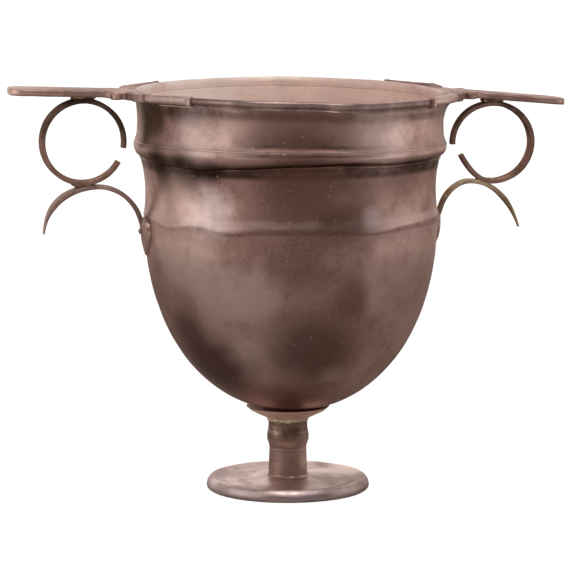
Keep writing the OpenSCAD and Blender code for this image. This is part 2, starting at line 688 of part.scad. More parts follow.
module leaf_plate() {
    difference() {
        intersection() {
            leaf_mass();
            translate([0, 0, leaf_top]) rotate([90, 0, 90])
                linear_extrude(lip_radius + plenty) leaf_outline();
        }
        own_mass();
    }
}

// Solder between a thumb plate's underside and its ring
module plate_solder(h) {
    x = ring_reach(h);
    half = solder_length / 2;
    difference() {
        along_y(0.7 * ring_width(h)) polygon([[x - half, plate_under(h, x - half)],
            [x + half, plate_under(h, x + half)], [x + half - 0.9, ring_z(h)],
            [x - half + 0.9, ring_z(h)]]);
        ring_space(h, 0);
    }
}

// Solder between a ring and the strut below it
module ring_solder(h) {
    x = solder_reach(h);
    half = solder_length / 2;
    difference() {
        intersection() {
            along_y(0.6 * ring_width(h)) polygon([[x - half, arch_top(h) - 4], [x + half, arch_top(h) - 4],
                [x + half, ring_z(h)], [x - half, ring_z(h)]]);
            ring_space(h, 1.1);
        }
        ring_space(h, 0);
        difference() {
            along_y(plenty) strut_mass(h);
            ring_space(h, strut_solder_gap);
        }
    }
}

// Everything below a strut's upper face
module strut_mass(h) {
    line = strut_line(h);
    n = len(line) - 1;
    up = [for (i = [0 : n]) beside(line, -strut_thin(n, i))[i]];
    polygon(concat(up, [[leaf_face, 0], [spur_reach(h), 0]]));
}

module left_thumb_plate() color(silver) on_side(180) thumb_plate(left);
module left_plate_solder() color(solder_grey) on_side(180) plate_solder(left);
module left_finger_ring() color(dark_silver) on_side(180) finger_ring(left);
module left_ring_solder() color(solder_grey) on_side(180) ring_solder(left);
module left_spur_strut() color(warm_silver) on_side(180) spur_strut(left);
module left_leaf_plate() color(dark_silver) on_side(180) leaf_plate();
module right_thumb_plate() color(silver) on_side(0) thumb_plate(right);
module right_plate_solder() color(solder_grey) on_side(0) plate_solder(right);
module right_finger_ring() color(dark_silver) on_side(0) finger_ring(right);
module right_ring_solder() color(solder_grey) on_side(0) ring_solder(right);
module right_spur_strut() color(warm_silver) on_side(0) spur_strut(right);
module right_leaf_plate() color(dark_silver) on_side(0) leaf_plate();

foot_disc();
foot_solder_fillet();
stem();
stem_solder_seam();
bowl_collar();
bowl();
lip_moulding_front();
lip_moulding_back();
left_thumb_plate();
left_plate_solder();
left_finger_ring();
left_ring_solder();
left_spur_strut();
left_leaf_plate();
right_thumb_plate();
right_plate_solder();
right_finger_ring();
right_ring_solder();
right_spur_strut();
right_leaf_plate();
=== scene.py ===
import math

import bpy
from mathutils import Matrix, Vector, noise


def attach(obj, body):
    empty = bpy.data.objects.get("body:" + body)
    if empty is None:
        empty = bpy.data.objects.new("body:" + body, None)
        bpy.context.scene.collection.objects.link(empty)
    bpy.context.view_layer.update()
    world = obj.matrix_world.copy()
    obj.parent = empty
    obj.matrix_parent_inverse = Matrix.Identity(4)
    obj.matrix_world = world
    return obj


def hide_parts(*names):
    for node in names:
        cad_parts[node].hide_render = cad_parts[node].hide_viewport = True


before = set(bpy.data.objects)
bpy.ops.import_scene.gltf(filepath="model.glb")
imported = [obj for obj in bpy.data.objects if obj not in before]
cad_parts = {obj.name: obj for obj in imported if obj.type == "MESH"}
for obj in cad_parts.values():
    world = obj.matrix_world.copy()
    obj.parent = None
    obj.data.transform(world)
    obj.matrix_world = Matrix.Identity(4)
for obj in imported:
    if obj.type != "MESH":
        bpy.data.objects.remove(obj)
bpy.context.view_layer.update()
mm = 0.001

# Heights in millimetres, stacked from the floor, and the bowl's axis
foot = 4.1
collarBase = 23.9
bowlBase = 26.8
bodyTop = 91.6
ridge = 92.7
mouldingBase = 111.5
neckBase = 120.8
lipBase = 130.3
lipTop = 134.2
bowlAxis = 1.0
lipRadius = 51.25
ridgeRadius = 48.95


# Plain sums on points
def mixed(a, b, t):
    return a + (b - a) * t


def eased(low, high, value):
    t = min(1, max(0, (value - low) / (high - low)))
    return t * t * (3 - 2 * t)


def curve(a, b, c, d, steps=12):
    points = []
    for i in range(1, steps + 1):
        t = i / steps
        u = 1 - t
        weights = (u**3, 3 * u * u * t, 3 * u * t * t, t**3)
        points.append(tuple(sum(w * p[k] for w, p in zip(weights, (a, b, c, d))) for k in (0, 1)))
    return points


def arc(centre, radius, start, end, steps=8):
    turns = [math.radians(mixed(start, end, i / steps)) for i in range(steps + 1)]
    return [(centre[0] + radius * math.cos(t), centre[1] + radius * math.sin(t)) for t in turns]


def beside(path, distances):
    points = []
    for i, p in enumerate(path):
        a = path[max(i - 1, 0)]
        b = path[min(i + 1, len(path) - 1)]
        along = Vector((b[0] - a[0], b[1] - a[1])).normalized()
        t = distances[i] if isinstance(distances, list) else distances
        points.append((p[0] - along.y * t, p[1] + along.x * t))
    return points


# Height or width along a line of points, read at one place
def readAt(points, place):
    points = sorted(points)
    if place <= points[0][0]:
        return points[0][1]
    for a, b in zip(points, points[1:]):
        if place <= b[0]:
            return mixed(a[1], b[1], (place - a[0]) / max(b[0] - a[0], 1e-6))
    return points[-1][1]


# The same between few points, with a soft bend at each
def softly(points, place):
    for a, b in zip(points, points[1:]):
        if place <= b[0]:
            return mixed(a[1], b[1], eased(a[0], b[0], place))
    return points[-1][1]


def grain(place, size, seed=0.0):
    return noise.noise(Vector(place) / size + Vector((seed, 1.7 * seed, -seed)))


# Work by hand: one piece is picked, the others are let go
def pick(piece=None):
    if bpy.context.mode != "OBJECT":
        bpy.ops.object.mode_set(mode="OBJECT")
    bpy.ops.object.select_all(action="DESELECT")
    if piece:
        piece.select_set(True)
        bpy.context.view_layer.objects.active = piece


def editAll(piece=None):
    if piece:
        pick(piece)
    if bpy.context.mode == "OBJECT":
        bpy.ops.object.mode_set(mode="EDIT")
    bpy.ops.mesh.select_mode(type="VERT")
    bpy.ops.mesh.select_all(action="SELECT")


def clean(piece, merge=0.004):
    editAll(piece)
    bpy.ops.mesh.remove_doubles(threshold=merge * mm)
    bpy.ops.mesh.select_all(action="SELECT")
    bpy.ops.mesh.normals_make_consistent(inside=False)
    bpy.ops.object.mode_set(mode="OBJECT")


def fixPlace():
    bpy.ops.object.transform_apply(location=True, rotation=True, scale=True)


# A line of edges, drawn by extruding one point from place to place
def chain(name, points):
    places = [Vector(p) * mm for p in points]
    pick()
    bpy.ops.mesh.primitive_plane_add(size=mm, location=places[0])
    piece = bpy.context.object
    piece.name = name
    piece.data.name = name
    fixPlace()
    editAll()
    bpy.ops.mesh.merge(type="CENTER")
    for a, b in zip(places, places[1:]):
        bpy.ops.mesh.extrude_vertices_move(TRANSFORM_OT_translate={"value": b - a})
    return piece


def turned(name, outline, axis=0.0, steps=256):
    piece = chain(name, [(axis + r, 0, z) for r, z in outline])
    editAll()
    bpy.ops.mesh.spin(steps=steps, angle=math.tau, center=(axis * mm, 0, 0), axis=(0, 0, 1))
    clean(piece)
    return piece


# A straight bar: its section is filled and extruded one millimetre at a time
def bar(name, section, steps):
    piece = chain(name, [(0, u, v) for u, v in section])
    editAll()
    bpy.ops.mesh.edge_face_add()
    for i in range(steps):
        bpy.ops.mesh.extrude_region_move(TRANSFORM_OT_translate={"value": (mm, 0, 0)})
    clean(piece)
    return piece


# Each vertex of a piece is moved to the place that the rule gives it
def moveEach(piece, rule):
    pick(piece)
    for vertex in piece.data.vertices:
        vertex.co = Vector(rule(*(vertex.co / mm))) * mm
    piece.data.update()


# A plain section 20 by 10 with corners rounded by 1 and extra points on its edges
def softSection(across=6, upright=2, round=3):
    points = []
    corners = ((9, 4, 0), (-9, 4, 90), (-9, -4, 180), (9, -4, 270))
    cuts = (across, upright, across, upright)
    for k, (u, v, turn) in enumerate(corners):
        points += arc((u, v), 1, turn, turn + 90, round)
        end = arc(corners[(k + 1) % 4][:2], 1, turn + 90, turn + 90, 1)[0]
        last = points[-1]
        points += [(mixed(last[0], end[0], i / cuts[k]), mixed(last[1], end[1], i / cuts[k]))
                   for i in range(1, cuts[k])]
    return points


# A point of that section, given real half sizes and a real corner
def sized(u, v, halfWide, halfThick, corner, cornerUp=None):
    a = max(-9, min(9, u))
    b = max(-4, min(4, v))
    up = corner if cornerUp is None else cornerUp
    return (a / 9 * (halfWide - corner) + (u - a) * corner,
            b / 4 * (halfThick - up) + (v - b) * up)


def joined(pieces):
    pick()
    for piece in pieces:
        piece.select_set(True)
    bpy.context.view_layer.objects.active = pieces[0]
    bpy.ops.object.join()
    return pieces[0]


# Shader sums: a wrapped socket takes part in ordinary arithmetic
class Tap:
    def __init__(self, tree, socket):
        self.tree = tree
        self.socket = socket

    def feed(self, value, target):
        if isinstance(value, Tap):
            self.tree.links.new(value.socket, target)
        else:
            target.default_value = value

    def node(self, kind, settings, sockets, output=0):
        made = self.tree.nodes.new(kind)
        for key, value in settings.items():
            setattr(made, key, value)
        for key, value in sockets.items():
            self.feed(value, made.inputs[key])
        return Tap(self.tree, made.outputs[output])

    def math(self, operation, *values):
        return self.node("ShaderNodeMath", {"operation": operation}, dict(enumerate(values)))

    def vector(self, operation, *values, output=0):
        return self.node("ShaderNodeVectorMath", {"operation": operation}, dict(enumerate(values)), output)

    def __add__(self, other):
        return self.math("ADD", self, other)

    def __radd__(self, other):
        return self.math("ADD", other, self)

    def __sub__(self, other):
        return self.math("SUBTRACT", self, other)

    def __rsub__(self, other):
        return self.math("SUBTRACT", other, self)

    def __mul__(self, other):
        return self.math("MULTIPLY", self, other)

    def __rmul__(self, other):
        return self.math("MULTIPLY", other, self)

    def __truediv__(self, other):
        return self.math("DIVIDE", self, other)

    def step(self, low, high, start=0.0, end=1.0):
        return self.node("ShaderNodeMapRange", {"interpolation_type": "SMOOTHSTEP"},
                         {"Value": self, "From Min": low, "From Max": high, "To Min": start, "To Max": end})

    def blend(self, a, b):
        return self.node("ShaderNodeMix", {"data_type": "RGBA"}, {0: self, 6: a, 7: b}, 2)

    def noise(self, scale, detail=3.0, rough=0.55, seed=0.0, twist=0.0):
        moved = self.vector("ADD", self, (seed, 2.3 * seed, -1.1 * seed))
        return self.node("ShaderNodeTexNoise", {}, {"Vector": moved, "Scale": scale, "Detail": detail,
                                                    "Roughness": rough, "Distortion": twist})

    def spots(self, scale, seed=0.0):
        moved = self.vector("ADD", self, (seed, seed, seed))
        return self.node("ShaderNodeTexVoronoi", {"feature": "F1"}, {"Vector": moved, "Scale": scale})

    def part(self, name):
        return self.node("ShaderNodeSeparateXYZ", {}, {0: self}, name)


def tone(red, green, blue):
    return (red, green, blue, 1.0)


# Noise scales of the finish, from its broad mottling to its finest grain
scales = {"green": 55.0, "mottle": 170.0, "specks": 310.0, "pits": 420.0, "scratches": 700.0, "dust": 900.0,
          "stipple": 1500.0}
greenTone, pitTone, speckTone = tone(0.25, 0.18, 0.115), tone(0.72, 0.58, 0.53), tone(0.06, 0.035, 0.03)
bumpDepth = 0.00022


# Aged silver: a bright metal under rose, brown and grey tarnish, with pits, scratches and wear; the bands
# and patches that a look lists lay more colour on it, most of them painted light and shade
def agedSilver(name, look):
    bright, dark = tone(*look["bright"]), tone(*look["dark"])
    material = bpy.data.materials.new(name)
    material.use_nodes = True
    tree = material.node_tree
    tree.nodes.clear()
    place = Tap(tree, tree.nodes.new("ShaderNodeTexCoord").outputs["Object"])
    wide = place.vector("MULTIPLY", place, (1.0, 1.0, look.get("stretch", 0.8)))
    seed = look.get("seed", 0.0)
    cloud = look.get("cloud", 27.0)
    clouds = wide.noise(cloud, 2.5, 0.5, seed, 0.5)
    mottle = place.noise(scales["mottle"], 5.0, 0.62, 3.0)
    dust = place.noise(scales["dust"], 3.0, 0.6, 5.0)
    hue = place.noise(cloud * 1.3, 3.0, 0.5, seed + 5.0).step(0.36, 0.64)
    main = hue.blend(tone(*look["main"]), tone(*look["second"]))
    tarnish = (clouds * 0.72 + mottle * 0.28).step(0.36, 0.62)
    base = tarnish.blend(bright, main)
    stain = (clouds * 0.3 + mottle * 0.45 + dust * 0.25).step(0.5, 0.68) * look.get("darkening", 0.3)
    base = stain.blend(base, dark)
    green = place.noise(scales["green"], 4.0, 0.6, 8.0).step(0.5, 0.7) * look.get("olive", 0.3)
    base = green.blend(base, greenTone)
    stipple = place.noise(scales["stipple"], 2.0, 0.6, 7.0).step(0.42, 0.6) * look.get("stipple", 0.12)
    base = stipple.blend(base, bright)
    # Bands of colour by height: in most looks they are painted highlights and painted shade, in the foot a
    # tint of the metal and in the collar a dark joint line
    if "bands" in look:
        height = place.part("Z")
        if look.get("followsBend"):
            height = place.node("ShaderNodeAttribute", {"attribute_name": "level"}, {}, "Fac")
        for low, high, soft, strength, shade in look["bands"]:
            inside = height.step((low - soft) * mm, (low + soft) * mm) * height.step(
                (high - soft) * mm, (high + soft) * mm, 1.0, 0.0)
            patchy = inside * (mottle * 0.8 + clouds * 0.6).step(0.35, 0.85, 0.35, 1.0) * strength
            base = patchy.blend(base, tone(*shade))
    # Patches of colour about a point: most of them are painted highlights, painted reflections and painted
    # shadows
    for cx, cy, cz, radius, strength, shade in look.get("patches", ()):
        away = place.vector("DISTANCE", place, (cx * mm, cy * mm, cz * mm), output=1)
        frayed = away + (mottle - 0.5) * radius * 0.6 * mm
        patch = frayed.step(0.25 * radius * mm, 1.1 * radius * mm, strength, 0.0)
        base = patch.blend(base, tone(*shade))
    pits = place.spots(scales["pits"], 2.0)
    pitting = pits.step(0.10, 0.2, 1.0, 0.0) * dust.step(0.5, 0.62)
    base = (pitting * 0.35).blend(base, pitTone)
    specks = place.spots(scales["specks"], 6.0).step(0.06, 0.15, 1.0, 0.0) * mottle.step(0.52, 0.62)
    base = (specks * 0.25).blend(base, speckTone)
    edge = Tap(tree, tree.nodes.new("ShaderNodeNewGeometry").outputs["Pointiness"])
    worn = edge.step(0.53, 0.60) * mottle.step(0.3, 0.6, 0.4, 1.0) * look.get("wear", 0.5)
    base = worn.blend(base, bright)
    hollow = edge.step(0.40, 0.475, 1.0, 0.0) * look.get("grime", 0.5)
    base = hollow.blend(base, dark)
    upright = place.vector("MULTIPLY", place, (0.35, 0.35, 3.0))
    scratches = upright.noise(scales["scratches"], 2.0, 0.7, 4.0, 1.5)
    rough = look["rough"] + (tarnish - 0.5) * 0.1 + (mottle - 0.5) * 0.2 + stain * 0.15 - worn * 0.1
    relief = mottle * 0.5 + dust * 0.25 + scratches * 0.2 - pitting * 0.5 - specks * 0.4 + clouds * 0.8
    bump = place.node("ShaderNodeBump", {}, {"Strength": look.get("bump", 0.5), "Distance": bumpDepth,
                                              "Height": relief})
    body = place.node("ShaderNodeBsdfPrincipled", {}, {
        "Base Color": base, "Metallic": look.get("metal", 1.0) - tarnish * 0.12, "Roughness": rough,
        "Specular Tint": tone(*look.get("grazing", (1.0, 0.93, 0.9))), "Normal": bump})
    out = tree.nodes.new("ShaderNodeOutputMaterial")
    tree.links.new(body.socket, out.inputs["Surface"])
    return material


# A band runs from one height to another with a soft edge, a patch lies about a point with a radius,
# all in millimetres; a strength and a colour follow in both
bodyLook = dict(
    bright=(0.54, 0.355, 0.31), main=(0.35, 0.195, 0.16), second=(0.27, 0.145, 0.125),
    dark=(0.11, 0.055, 0.043), rough=0.37, wear=0.12, grime=0.6, bump=0.4, stipple=0.22,
    followsBend=True, grazing=(0.85, 0.73, 0.67),
    # Bands: painted shadow in the groove under the round moulding and under the lip, a painted highlight
    # over the round moulding with a bright painted highlight line on its incised line, painted shade under
    # the ridge and a painted highlight above it
    bands=(
        (109.0, 113.8, 1.0, 0.95, (0.045, 0.02, 0.014)), (127.8, 131.4, 1.0, 0.7, (0.085, 0.044, 0.032)),
        (114.8, 119.6, 1.0, 0.12, (0.70, 0.48, 0.42)), (117.55, 117.95, 0.12, 0.6, (0.92, 0.76, 0.69)),
        (90.9, 92.5, 0.4, 0.6, (0.15, 0.078, 0.062)), (93.1, 95.6, 0.7, 0.3, (0.74, 0.55, 0.51))),
    # Patches: dark ones paint the shadow under the left clasp and thumb plate root, the shade in the groove
    # under the moulding on the left and the dark reflection down the front and lower body; pale ones paint
    # the side lamps' highlights on both flanks and lighten the bottom by the collar
    patches=(
        (-48.5, -10.5, 125.8, 13, 1.0, (0.055, 0.025, 0.01)),
        (-46, -17, 127, 8, 0.9, (0.06, 0.028, 0.012)), (-45, -14, 93, 12, 0.35, (0.70, 0.48, 0.42)),
        (-40, -30, 111, 9.5, 0.95, (0.025, 0.011, 0.006)),
        (-46, -19, 111.5, 9.5, 0.92, (0.025, 0.011, 0.006)),
        (-33, -37, 110.8, 6, 0.8, (0.03, 0.014, 0.01)), (-2, -51, 117, 18, 0.3, (0.13, 0.06, 0.043)),
        (-42, -25, 101, 13, 0.4, (0.72, 0.50, 0.43)), (-42, -23, 81, 14, 0.42, (0.72, 0.51, 0.44)),
        (-42, -28, 130.8, 7, 0.9, (0.05, 0.027, 0.018)), (-37, -34, 130.5, 6, 0.9, (0.05, 0.027, 0.018)),
        (-36, -34, 123, 12, 0.3, (0.80, 0.63, 0.58)), (22, -45, 122.5, 15, 0.5, (0.78, 0.58, 0.52)),
        (-6, -50, 124, 22, 0.75, (0.14, 0.065, 0.046)), (-33, -36, 98, 11, 0.5, (0.80, 0.65, 0.61)),
        (7.3, -47.9, 101, 18, 0.75, (0.13, 0.062, 0.045)), (-8, -48, 104, 14, 0.7, (0.15, 0.07, 0.055)),
        (18.5, -45.2, 96, 5, 0.5, (0.66, 0.50, 0.48)), (30, -38, 103, 12, 0.35, (0.17, 0.09, 0.07)),
        (-29, -20, 44, 20, 0.92, (0.10, 0.047, 0.04)), (-37, -19, 57, 11, 0.75, (0.12, 0.06, 0.05)),
        (-20, -40.5, 71, 13, 0.5, (0.74, 0.54, 0.49)), (-30, -34, 70, 13, 0.45, (0.72, 0.52, 0.47)),
        (-34, -32, 84, 11, 0.4, (0.72, 0.52, 0.46)), (-19, -34.5, 53, 7, 0.5, (0.66, 0.48, 0.43)),
        (7.5, -33.7, 43.8, 5.5, 0.6, (0.62, 0.44, 0.39)), (12, -45, 69.6, 9, 0.5, (0.17, 0.085, 0.065)),
        (0, -40, 53, 20, 0.8, (0.115, 0.054, 0.04)), (-5.6, -47.6, 82, 12, 0.4, (0.19, 0.10, 0.082)),
        (22, -43, 68, 7, 0.5, (0.60, 0.42, 0.37)), (-7, -22.5, 34, 12, 0.8, (0.25, 0.165, 0.145))),
)
# Inside: the same silver in paler, barely metallic tones, which partly paint the light that falls inside;
# pale patches paint light on the left of the inside wall, a darker patch paints shade on the right, and a
# small dark spot lies at the lip by the left thumb plate's root
insideLook = dict(
    bright=(0.92, 0.70, 0.61), main=(0.82, 0.56, 0.475), second=(0.74, 0.50, 0.44),
    dark=(0.30, 0.17, 0.13), rough=0.5, seed=2.0, grime=0.8, metal=0.22,
    patches=(
        (-44, 22, 129, 15, 0.85, (1.0, 0.84, 0.75)), (-28, 41, 127, 20, 0.7, (1.0, 0.84, 0.75)),
        (-22, 44, 116, 30, 0.95, (1.0, 0.86, 0.78)), (30, 38, 128, 20, 0.4, (0.52, 0.34, 0.28)),
        (-50, 3, 131, 6, 0.8, (0.30, 0.18, 0.14))),
)
footLook = dict(
    bright=(0.80, 0.62, 0.55), main=(0.56, 0.395, 0.345), second=(0.46, 0.335, 0.315),
    dark=(0.22, 0.14, 0.13), rough=0.37, stretch=1.0, bump=0.5, cloud=60.0, wear=0.7,
    seed=4.0,
    bands=((0.8, 3.2, 0.4, 0.55, (0.50, 0.36, 0.39)),),
    patches=(
        (17, -9, 3.5, 19, 0.8, (0.25, 0.165, 0.125)), (2, -14, 3.8, 9, 0.4, (0.34, 0.24, 0.20)),
        (16, -3, 5.6, 3, 0.5, (0.80, 0.66, 0.56)), (20, 3, 5.2, 2.2, 0.5, (0.80, 0.66, 0.56))),
)
# Collar: pale, barely metallic tones which partly paint the light bounced up on to its underside
collarLook = dict(
    bright=(0.92, 0.64, 0.50), main=(0.86, 0.55, 0.41), second=(0.76, 0.48, 0.34),
    dark=(0.24, 0.13, 0.09), rough=0.45, stretch=3.0, darkening=0.5, seed=5.0,
    wear=0.4, grime=0.1, metal=0.15, bands=((26.75, 26.9, 0.08, 0.6, (0.09, 0.05, 0.04)),),
)
stemLook = dict(
    bright=(0.54, 0.355, 0.29), main=(0.30, 0.17, 0.135), second=(0.25, 0.145, 0.12),
    dark=(0.09, 0.052, 0.044), rough=0.42, stretch=3.0, darkening=0.6, seed=6.0,
    wear=0.6, grime=0.8, metal=0.9,
    # Bands: painted light on the lower stem, painted shade under the collar at the top, a pale band at the
    # ledge and thin pale and dark lines about the turned lines
    bands=(
        (4.0, 14.5, 1.2, 0.4, (0.52, 0.34, 0.29)), (16.8, 23.2, 0.6, 0.7, (0.12, 0.065, 0.038)),
        (21.5, 21.75, 0.1, 0.5, (0.40, 0.26, 0.19)), (20.2, 20.4, 0.1, 0.5, (0.04, 0.02, 0.014)),
        (18.6, 18.8, 0.1, 0.5, (0.04, 0.02, 0.014)), (15.3, 16.2, 0.4, 0.4, (0.60, 0.40, 0.34)),
        (14.35, 14.55, 0.08, 0.5, (0.10, 0.055, 0.045)), (13.6, 13.8, 0.08, 0.4, (0.62, 0.43, 0.37)),
        (12.9, 13.1, 0.08, 0.4, (0.10, 0.055, 0.045))),
    # Patches: painted highlights on the front right of the stem
    patches=(
        (5.5, -3.5, 9.5, 4, 0.5, (0.80, 0.58, 0.42)), (5.5, -3.5, 15, 5, 0.35, (0.70, 0.50, 0.43))),
)
# Lip moulding: darker tones than the body's silver, which partly paint the shade on the moulding
lipLook = dict(
    bright=(0.50, 0.345, 0.31), main=(0.20, 0.115, 0.10), second=(0.155, 0.088, 0.085),
    dark=(0.09, 0.047, 0.038), rough=0.36, cloud=60.0, stretch=1.0, seed=8.0, wear=0.7,
    grime=0.9, metal=0.95,
)
plateLook = dict(
    bright=(0.62, 0.41, 0.345), main=(0.365, 0.215, 0.172), second=(0.31, 0.18, 0.147),
    dark=(0.16, 0.095, 0.07), rough=0.38, cloud=70.0, stretch=1.0, seed=9.0, wear=0.5,
    grime=0.9, metal=0.8, grazing=(0.9, 0.78, 0.73),
    # Patches: painted highlights on top of the left clasp's near arm
    patches=(
        (-45, -22, 132, 12, 0.3, (0.86, 0.66, 0.61)), (-38, -34, 132, 9, 0.4, (0.90, 0.72, 0.67))),
)
# The right plate: darker tones, and a patch of painted highlight on the right clasp's near arm
rightPlateLook = dict(plateLook, bright=(0.48, 0.31, 0.255), main=(0.265, 0.15, 0.122),
                      second=(0.22, 0.125, 0.10), grazing=(0.84, 0.68, 0.62),
                      patches=((44, -24, 131, 13, 0.5, (0.80, 0.60, 0.52)),))
# Ring: dark tones which partly paint shade
ringLook = dict(
    bright=(0.45, 0.27, 0.215), main=(0.25, 0.13, 0.098), second=(0.215, 0.115, 0.075),
    dark=(0.06, 0.036, 0.026), rough=0.5, cloud=70.0, stretch=1.0, seed=10.0, wear=0.6,
    grime=0.9, metal=0.85, grazing=(0.4, 0.28, 0.22),
    # Band: the ring's upper half darker, painted shade under the thumb plate
    bands=((119.0, 136.0, 4.0, 0.92, (0.085, 0.05, 0.032)),),
)
strutLook = dict(
    bright=(0.52, 0.355, 0.30), main=(0.32, 0.195, 0.158), second=(0.27, 0.165, 0.128),
    dark=(0.13, 0.08, 0.06), rough=0.46, cloud=70.0, stretch=1.0, seed=12.0, wear=0.8,
    grime=0.8, olive=0.1, metal=0.6, grazing=(0.6, 0.46, 0.40),
)
oliveLook = dict(
    bright=(0.62, 0.46, 0.30), main=(0.36, 0.25, 0.15), second=(0.30, 0.20, 0.14),
    dark=(0.07, 0.045, 0.028), rough=0.46, cloud=70.0, stretch=1.0, seed=13.0, wear=0.8,
    grime=0.9, olive=0.4, metal=0.85, grazing=(0.6, 0.48, 0.36),
)
solderLook = dict(
    bright=(0.62, 0.47, 0.30), main=(0.19, 0.12, 0.07), second=(0.13, 0.08, 0.05),
    dark=(0.04, 0.025, 0.017), rough=0.55, cloud=220.0, stretch=1.0, darkening=0.6,
    seed=15.0, wear=0.9, bump=1.0,
)
leafLook = dict(
    bright=(0.72, 0.50, 0.41), main=(0.39, 0.23, 0.18), second=(0.30, 0.175, 0.13),
    dark=(0.13, 0.075, 0.058), rough=0.38, cloud=120.0, stretch=1.0, seed=18.0,
    wear=0.9, grime=0.8, metal=0.8,
)
seamLook = dict(
    bright=(0.95, 0.80, 0.60), main=(0.66, 0.49, 0.33), second=(0.42, 0.29, 0.19),
    dark=(0.06, 0.035, 0.022), rough=0.5, cloud=320.0, stretch=1.0, darkening=0.6,
    seed=21.0, wear=0.9, bump=1.0, metal=0.6,
)
looks = {name: agedSilver(name + "Silver", look) for name, look in (
    ("body", bodyLook), ("inside", insideLook), ("foot", footLook), ("collar", collarLook),
    ("stem", stemLook), ("plate", plateLook), ("rightPlate", rightPlateLook), ("ring", ringLook),
    ("strut", strutLook), ("olive", oliveLook), ("solder", solderLook), ("leaf", leafLook), ("lip", lipLook),
    ("seam", seamLook))}


# Ends a piece: soft shading, its finish, its body and the solid that it stands for
def done(piece, node, look, angle=38, also=()):
    pick(piece)
    bpy.ops.object.shade_smooth_by_angle(angle=math.radians(angle))
    piece.data.materials.clear()
    for key in (look, *also):
        piece.data.materials.append(looks[key])
    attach(piece, "root")
    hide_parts(node)
    return piece


# The old bend: how far the lip lies below its level, by direction seen from the axis
sagByTurn = ((-180, 0.0), (-160, 0.1), (-137, 0.25), (-109, 0.1), (-94, -0.15), (-80, -0.95), (-68, -1.3),
             (-46, -1.5), (-8, -1.4), (10, -1.3), (22, -0.95), (48, -0.5), (85, 0.0), (180, 0.0))
# How far the moulding's lower corner strays from its level
cornerByTurn = ((-180, 0.0), (-152, -0.8), (-137, -1.5), (-122, -0.3), (-98, 0.75), (-78, 1.15), (-60, 0.5),
                (-40, 0.6), (0, 0.0), (60, 0.5), (110, -0.4), (180, 0.0))
# Dips of the ridge: direction, depth, spread
ridgeDips = ((-156, 1.1, 7), (-125, 1.3, 8), (-68, 1.4, 12), (35, 1.1, 10), (120, 1.0, 12))


def turnOf(x, y):
    return math.degrees(math.atan2(y, x - bowlAxis))


def bent(x, y, z):
    turn = turnOf(x, y)
    r = math.hypot(x - bowlAxis, y)
    share = eased(30, 46, r)
    drop = softly(sagByTurn, turn) * eased(106, 129, z)
    stray = softly(cornerByTurn, turn) * math.exp(-((z - 112.6) / 1.9) ** 2)
    dip = sum(depth * math.exp(-((turn - at) / spread) ** 2) for at, depth, spread in ridgeDips)
    wave = (0.35 - dip) * math.exp(-((z - ridge) / 2.2) ** 2)
    lean = -0.22 * eased(93, 112, z)
    return x + lean, y, z + (drop + stray + wave) * share


def hammered(x, y, z):
    r = math.hypot(x - bowlAxis, y)
    if r < 1:
        return x, y, z
    turnX, turnY = (x - bowlAxis) / r, y / r
    calm = eased(28, 40, z) * (1 - 0.8 * eased(130, 133, z))
    place = (x, y, z)
    push = calm * (0.11 * grain(place, 11, 2) + 0.05 * grain(place, 4, 5) + 0.02 * grain(place, 1.6, 9))
    return x + turnX * push, y + turnY * push, z


print("bowl")
bowlSizes = {
    "bodyRadius": 48.7, "fullness": 2.13, "wall": 1.15, "waistHandle": 47.908, "mouldingRoot": 49.6,
    "crest": (51.85, 116.15), "corner": (50.35, 112.8), "neckStart": (50.82, neckBase), "innerLip": 50.2,
    "innerLipLow": 129.5, "incised": 117.75, "incisedDepth": 0.2, "insideFrom": 33,
}


def bodyPoint(turn):
    power = 2 / bowlSizes["fullness"]
    turn = math.radians(turn)
    return (bowlSizes["bodyRadius"] * math.cos(turn) ** power,
            bodyTop - (bodyTop - bowlBase) * math.sin(turn) ** power)


bodyRadius, waistHandle = bowlSizes["bodyRadius"], bowlSizes["waistHandle"]
bodyCurve = [(0, bowlBase)] + [bodyPoint(90 - 84 * i / 56) for i in range(1, 57)]
bodyCurve += curve(bodyPoint(6), (bodyRadius, bodyTop - 1.5), (ridgeRadius, ridge - 1.6),
                   (ridgeRadius, ridge), 14)
waistCurve = curve((ridgeRadius, ridge), (waistHandle, ridge + 5.26), (waistHandle, mouldingBase - 6.39),
                   (bowlSizes["mouldingRoot"], mouldingBase), 26)
corner, crest, neckStart = (bowlSizes[key] for key in ("corner", "crest", "neckStart"))
roundCurve = [corner]
roundCurve += curve(corner, (corner[0] + 0.75, corner[1] + 0.35), (crest[0], crest[1] - 1.5), crest, 10)
shoulder = curve(crest, (crest[0], crest[1] + 1.7), (neckStart[0], neckStart[1] - 2.4), neckStart, 20)
neckCurve = curve(neckStart, (50.6, 123.84), (50.68, 127.45), (lipRadius, lipBase), 14)
beadCurve = [(49.9, 111.77), (49.93, 111.95), (49.9, 112.13), (49.72, 112.4)]
incised = [(r - (bowlSizes["incisedDepth"] if abs(z - bowlSizes["incised"]) < 0.14 else 0.0), z)
           for r, z in shoulder]
outer = bodyCurve + waistCurve + beadCurve + roundCurve + incised + neckCurve
plain = bodyCurve + waistCurve + roundCurve + shoulder + neckCurve
inner = [(max(r, 0), z) for r, z in beside(plain, bowlSizes["wall"]) if z < bowlSizes["innerLipLow"]]
innerLip, lipStart, lipRound = bowlSizes["innerLip"], (50.98, lipTop), 0.25
lipEdge = [lipStart] + curve(lipStart, (50.6, 134.1), (50.3, 133.3), (innerLip, 132.4), 7) + [
    (innerLip, 131.22), (50.32, 131.1), (50.32, 130.92), (50.08, 130.75)]
lipOut = arc((lipRadius - lipRound, lipTop - lipRound), lipRound, 0, 90, 4)
outline = outer + [(lipRadius, 132.2)] + lipOut + lipEdge + inner[::-1]
bowl = turned("bowl", outline, bowlAxis, 288)
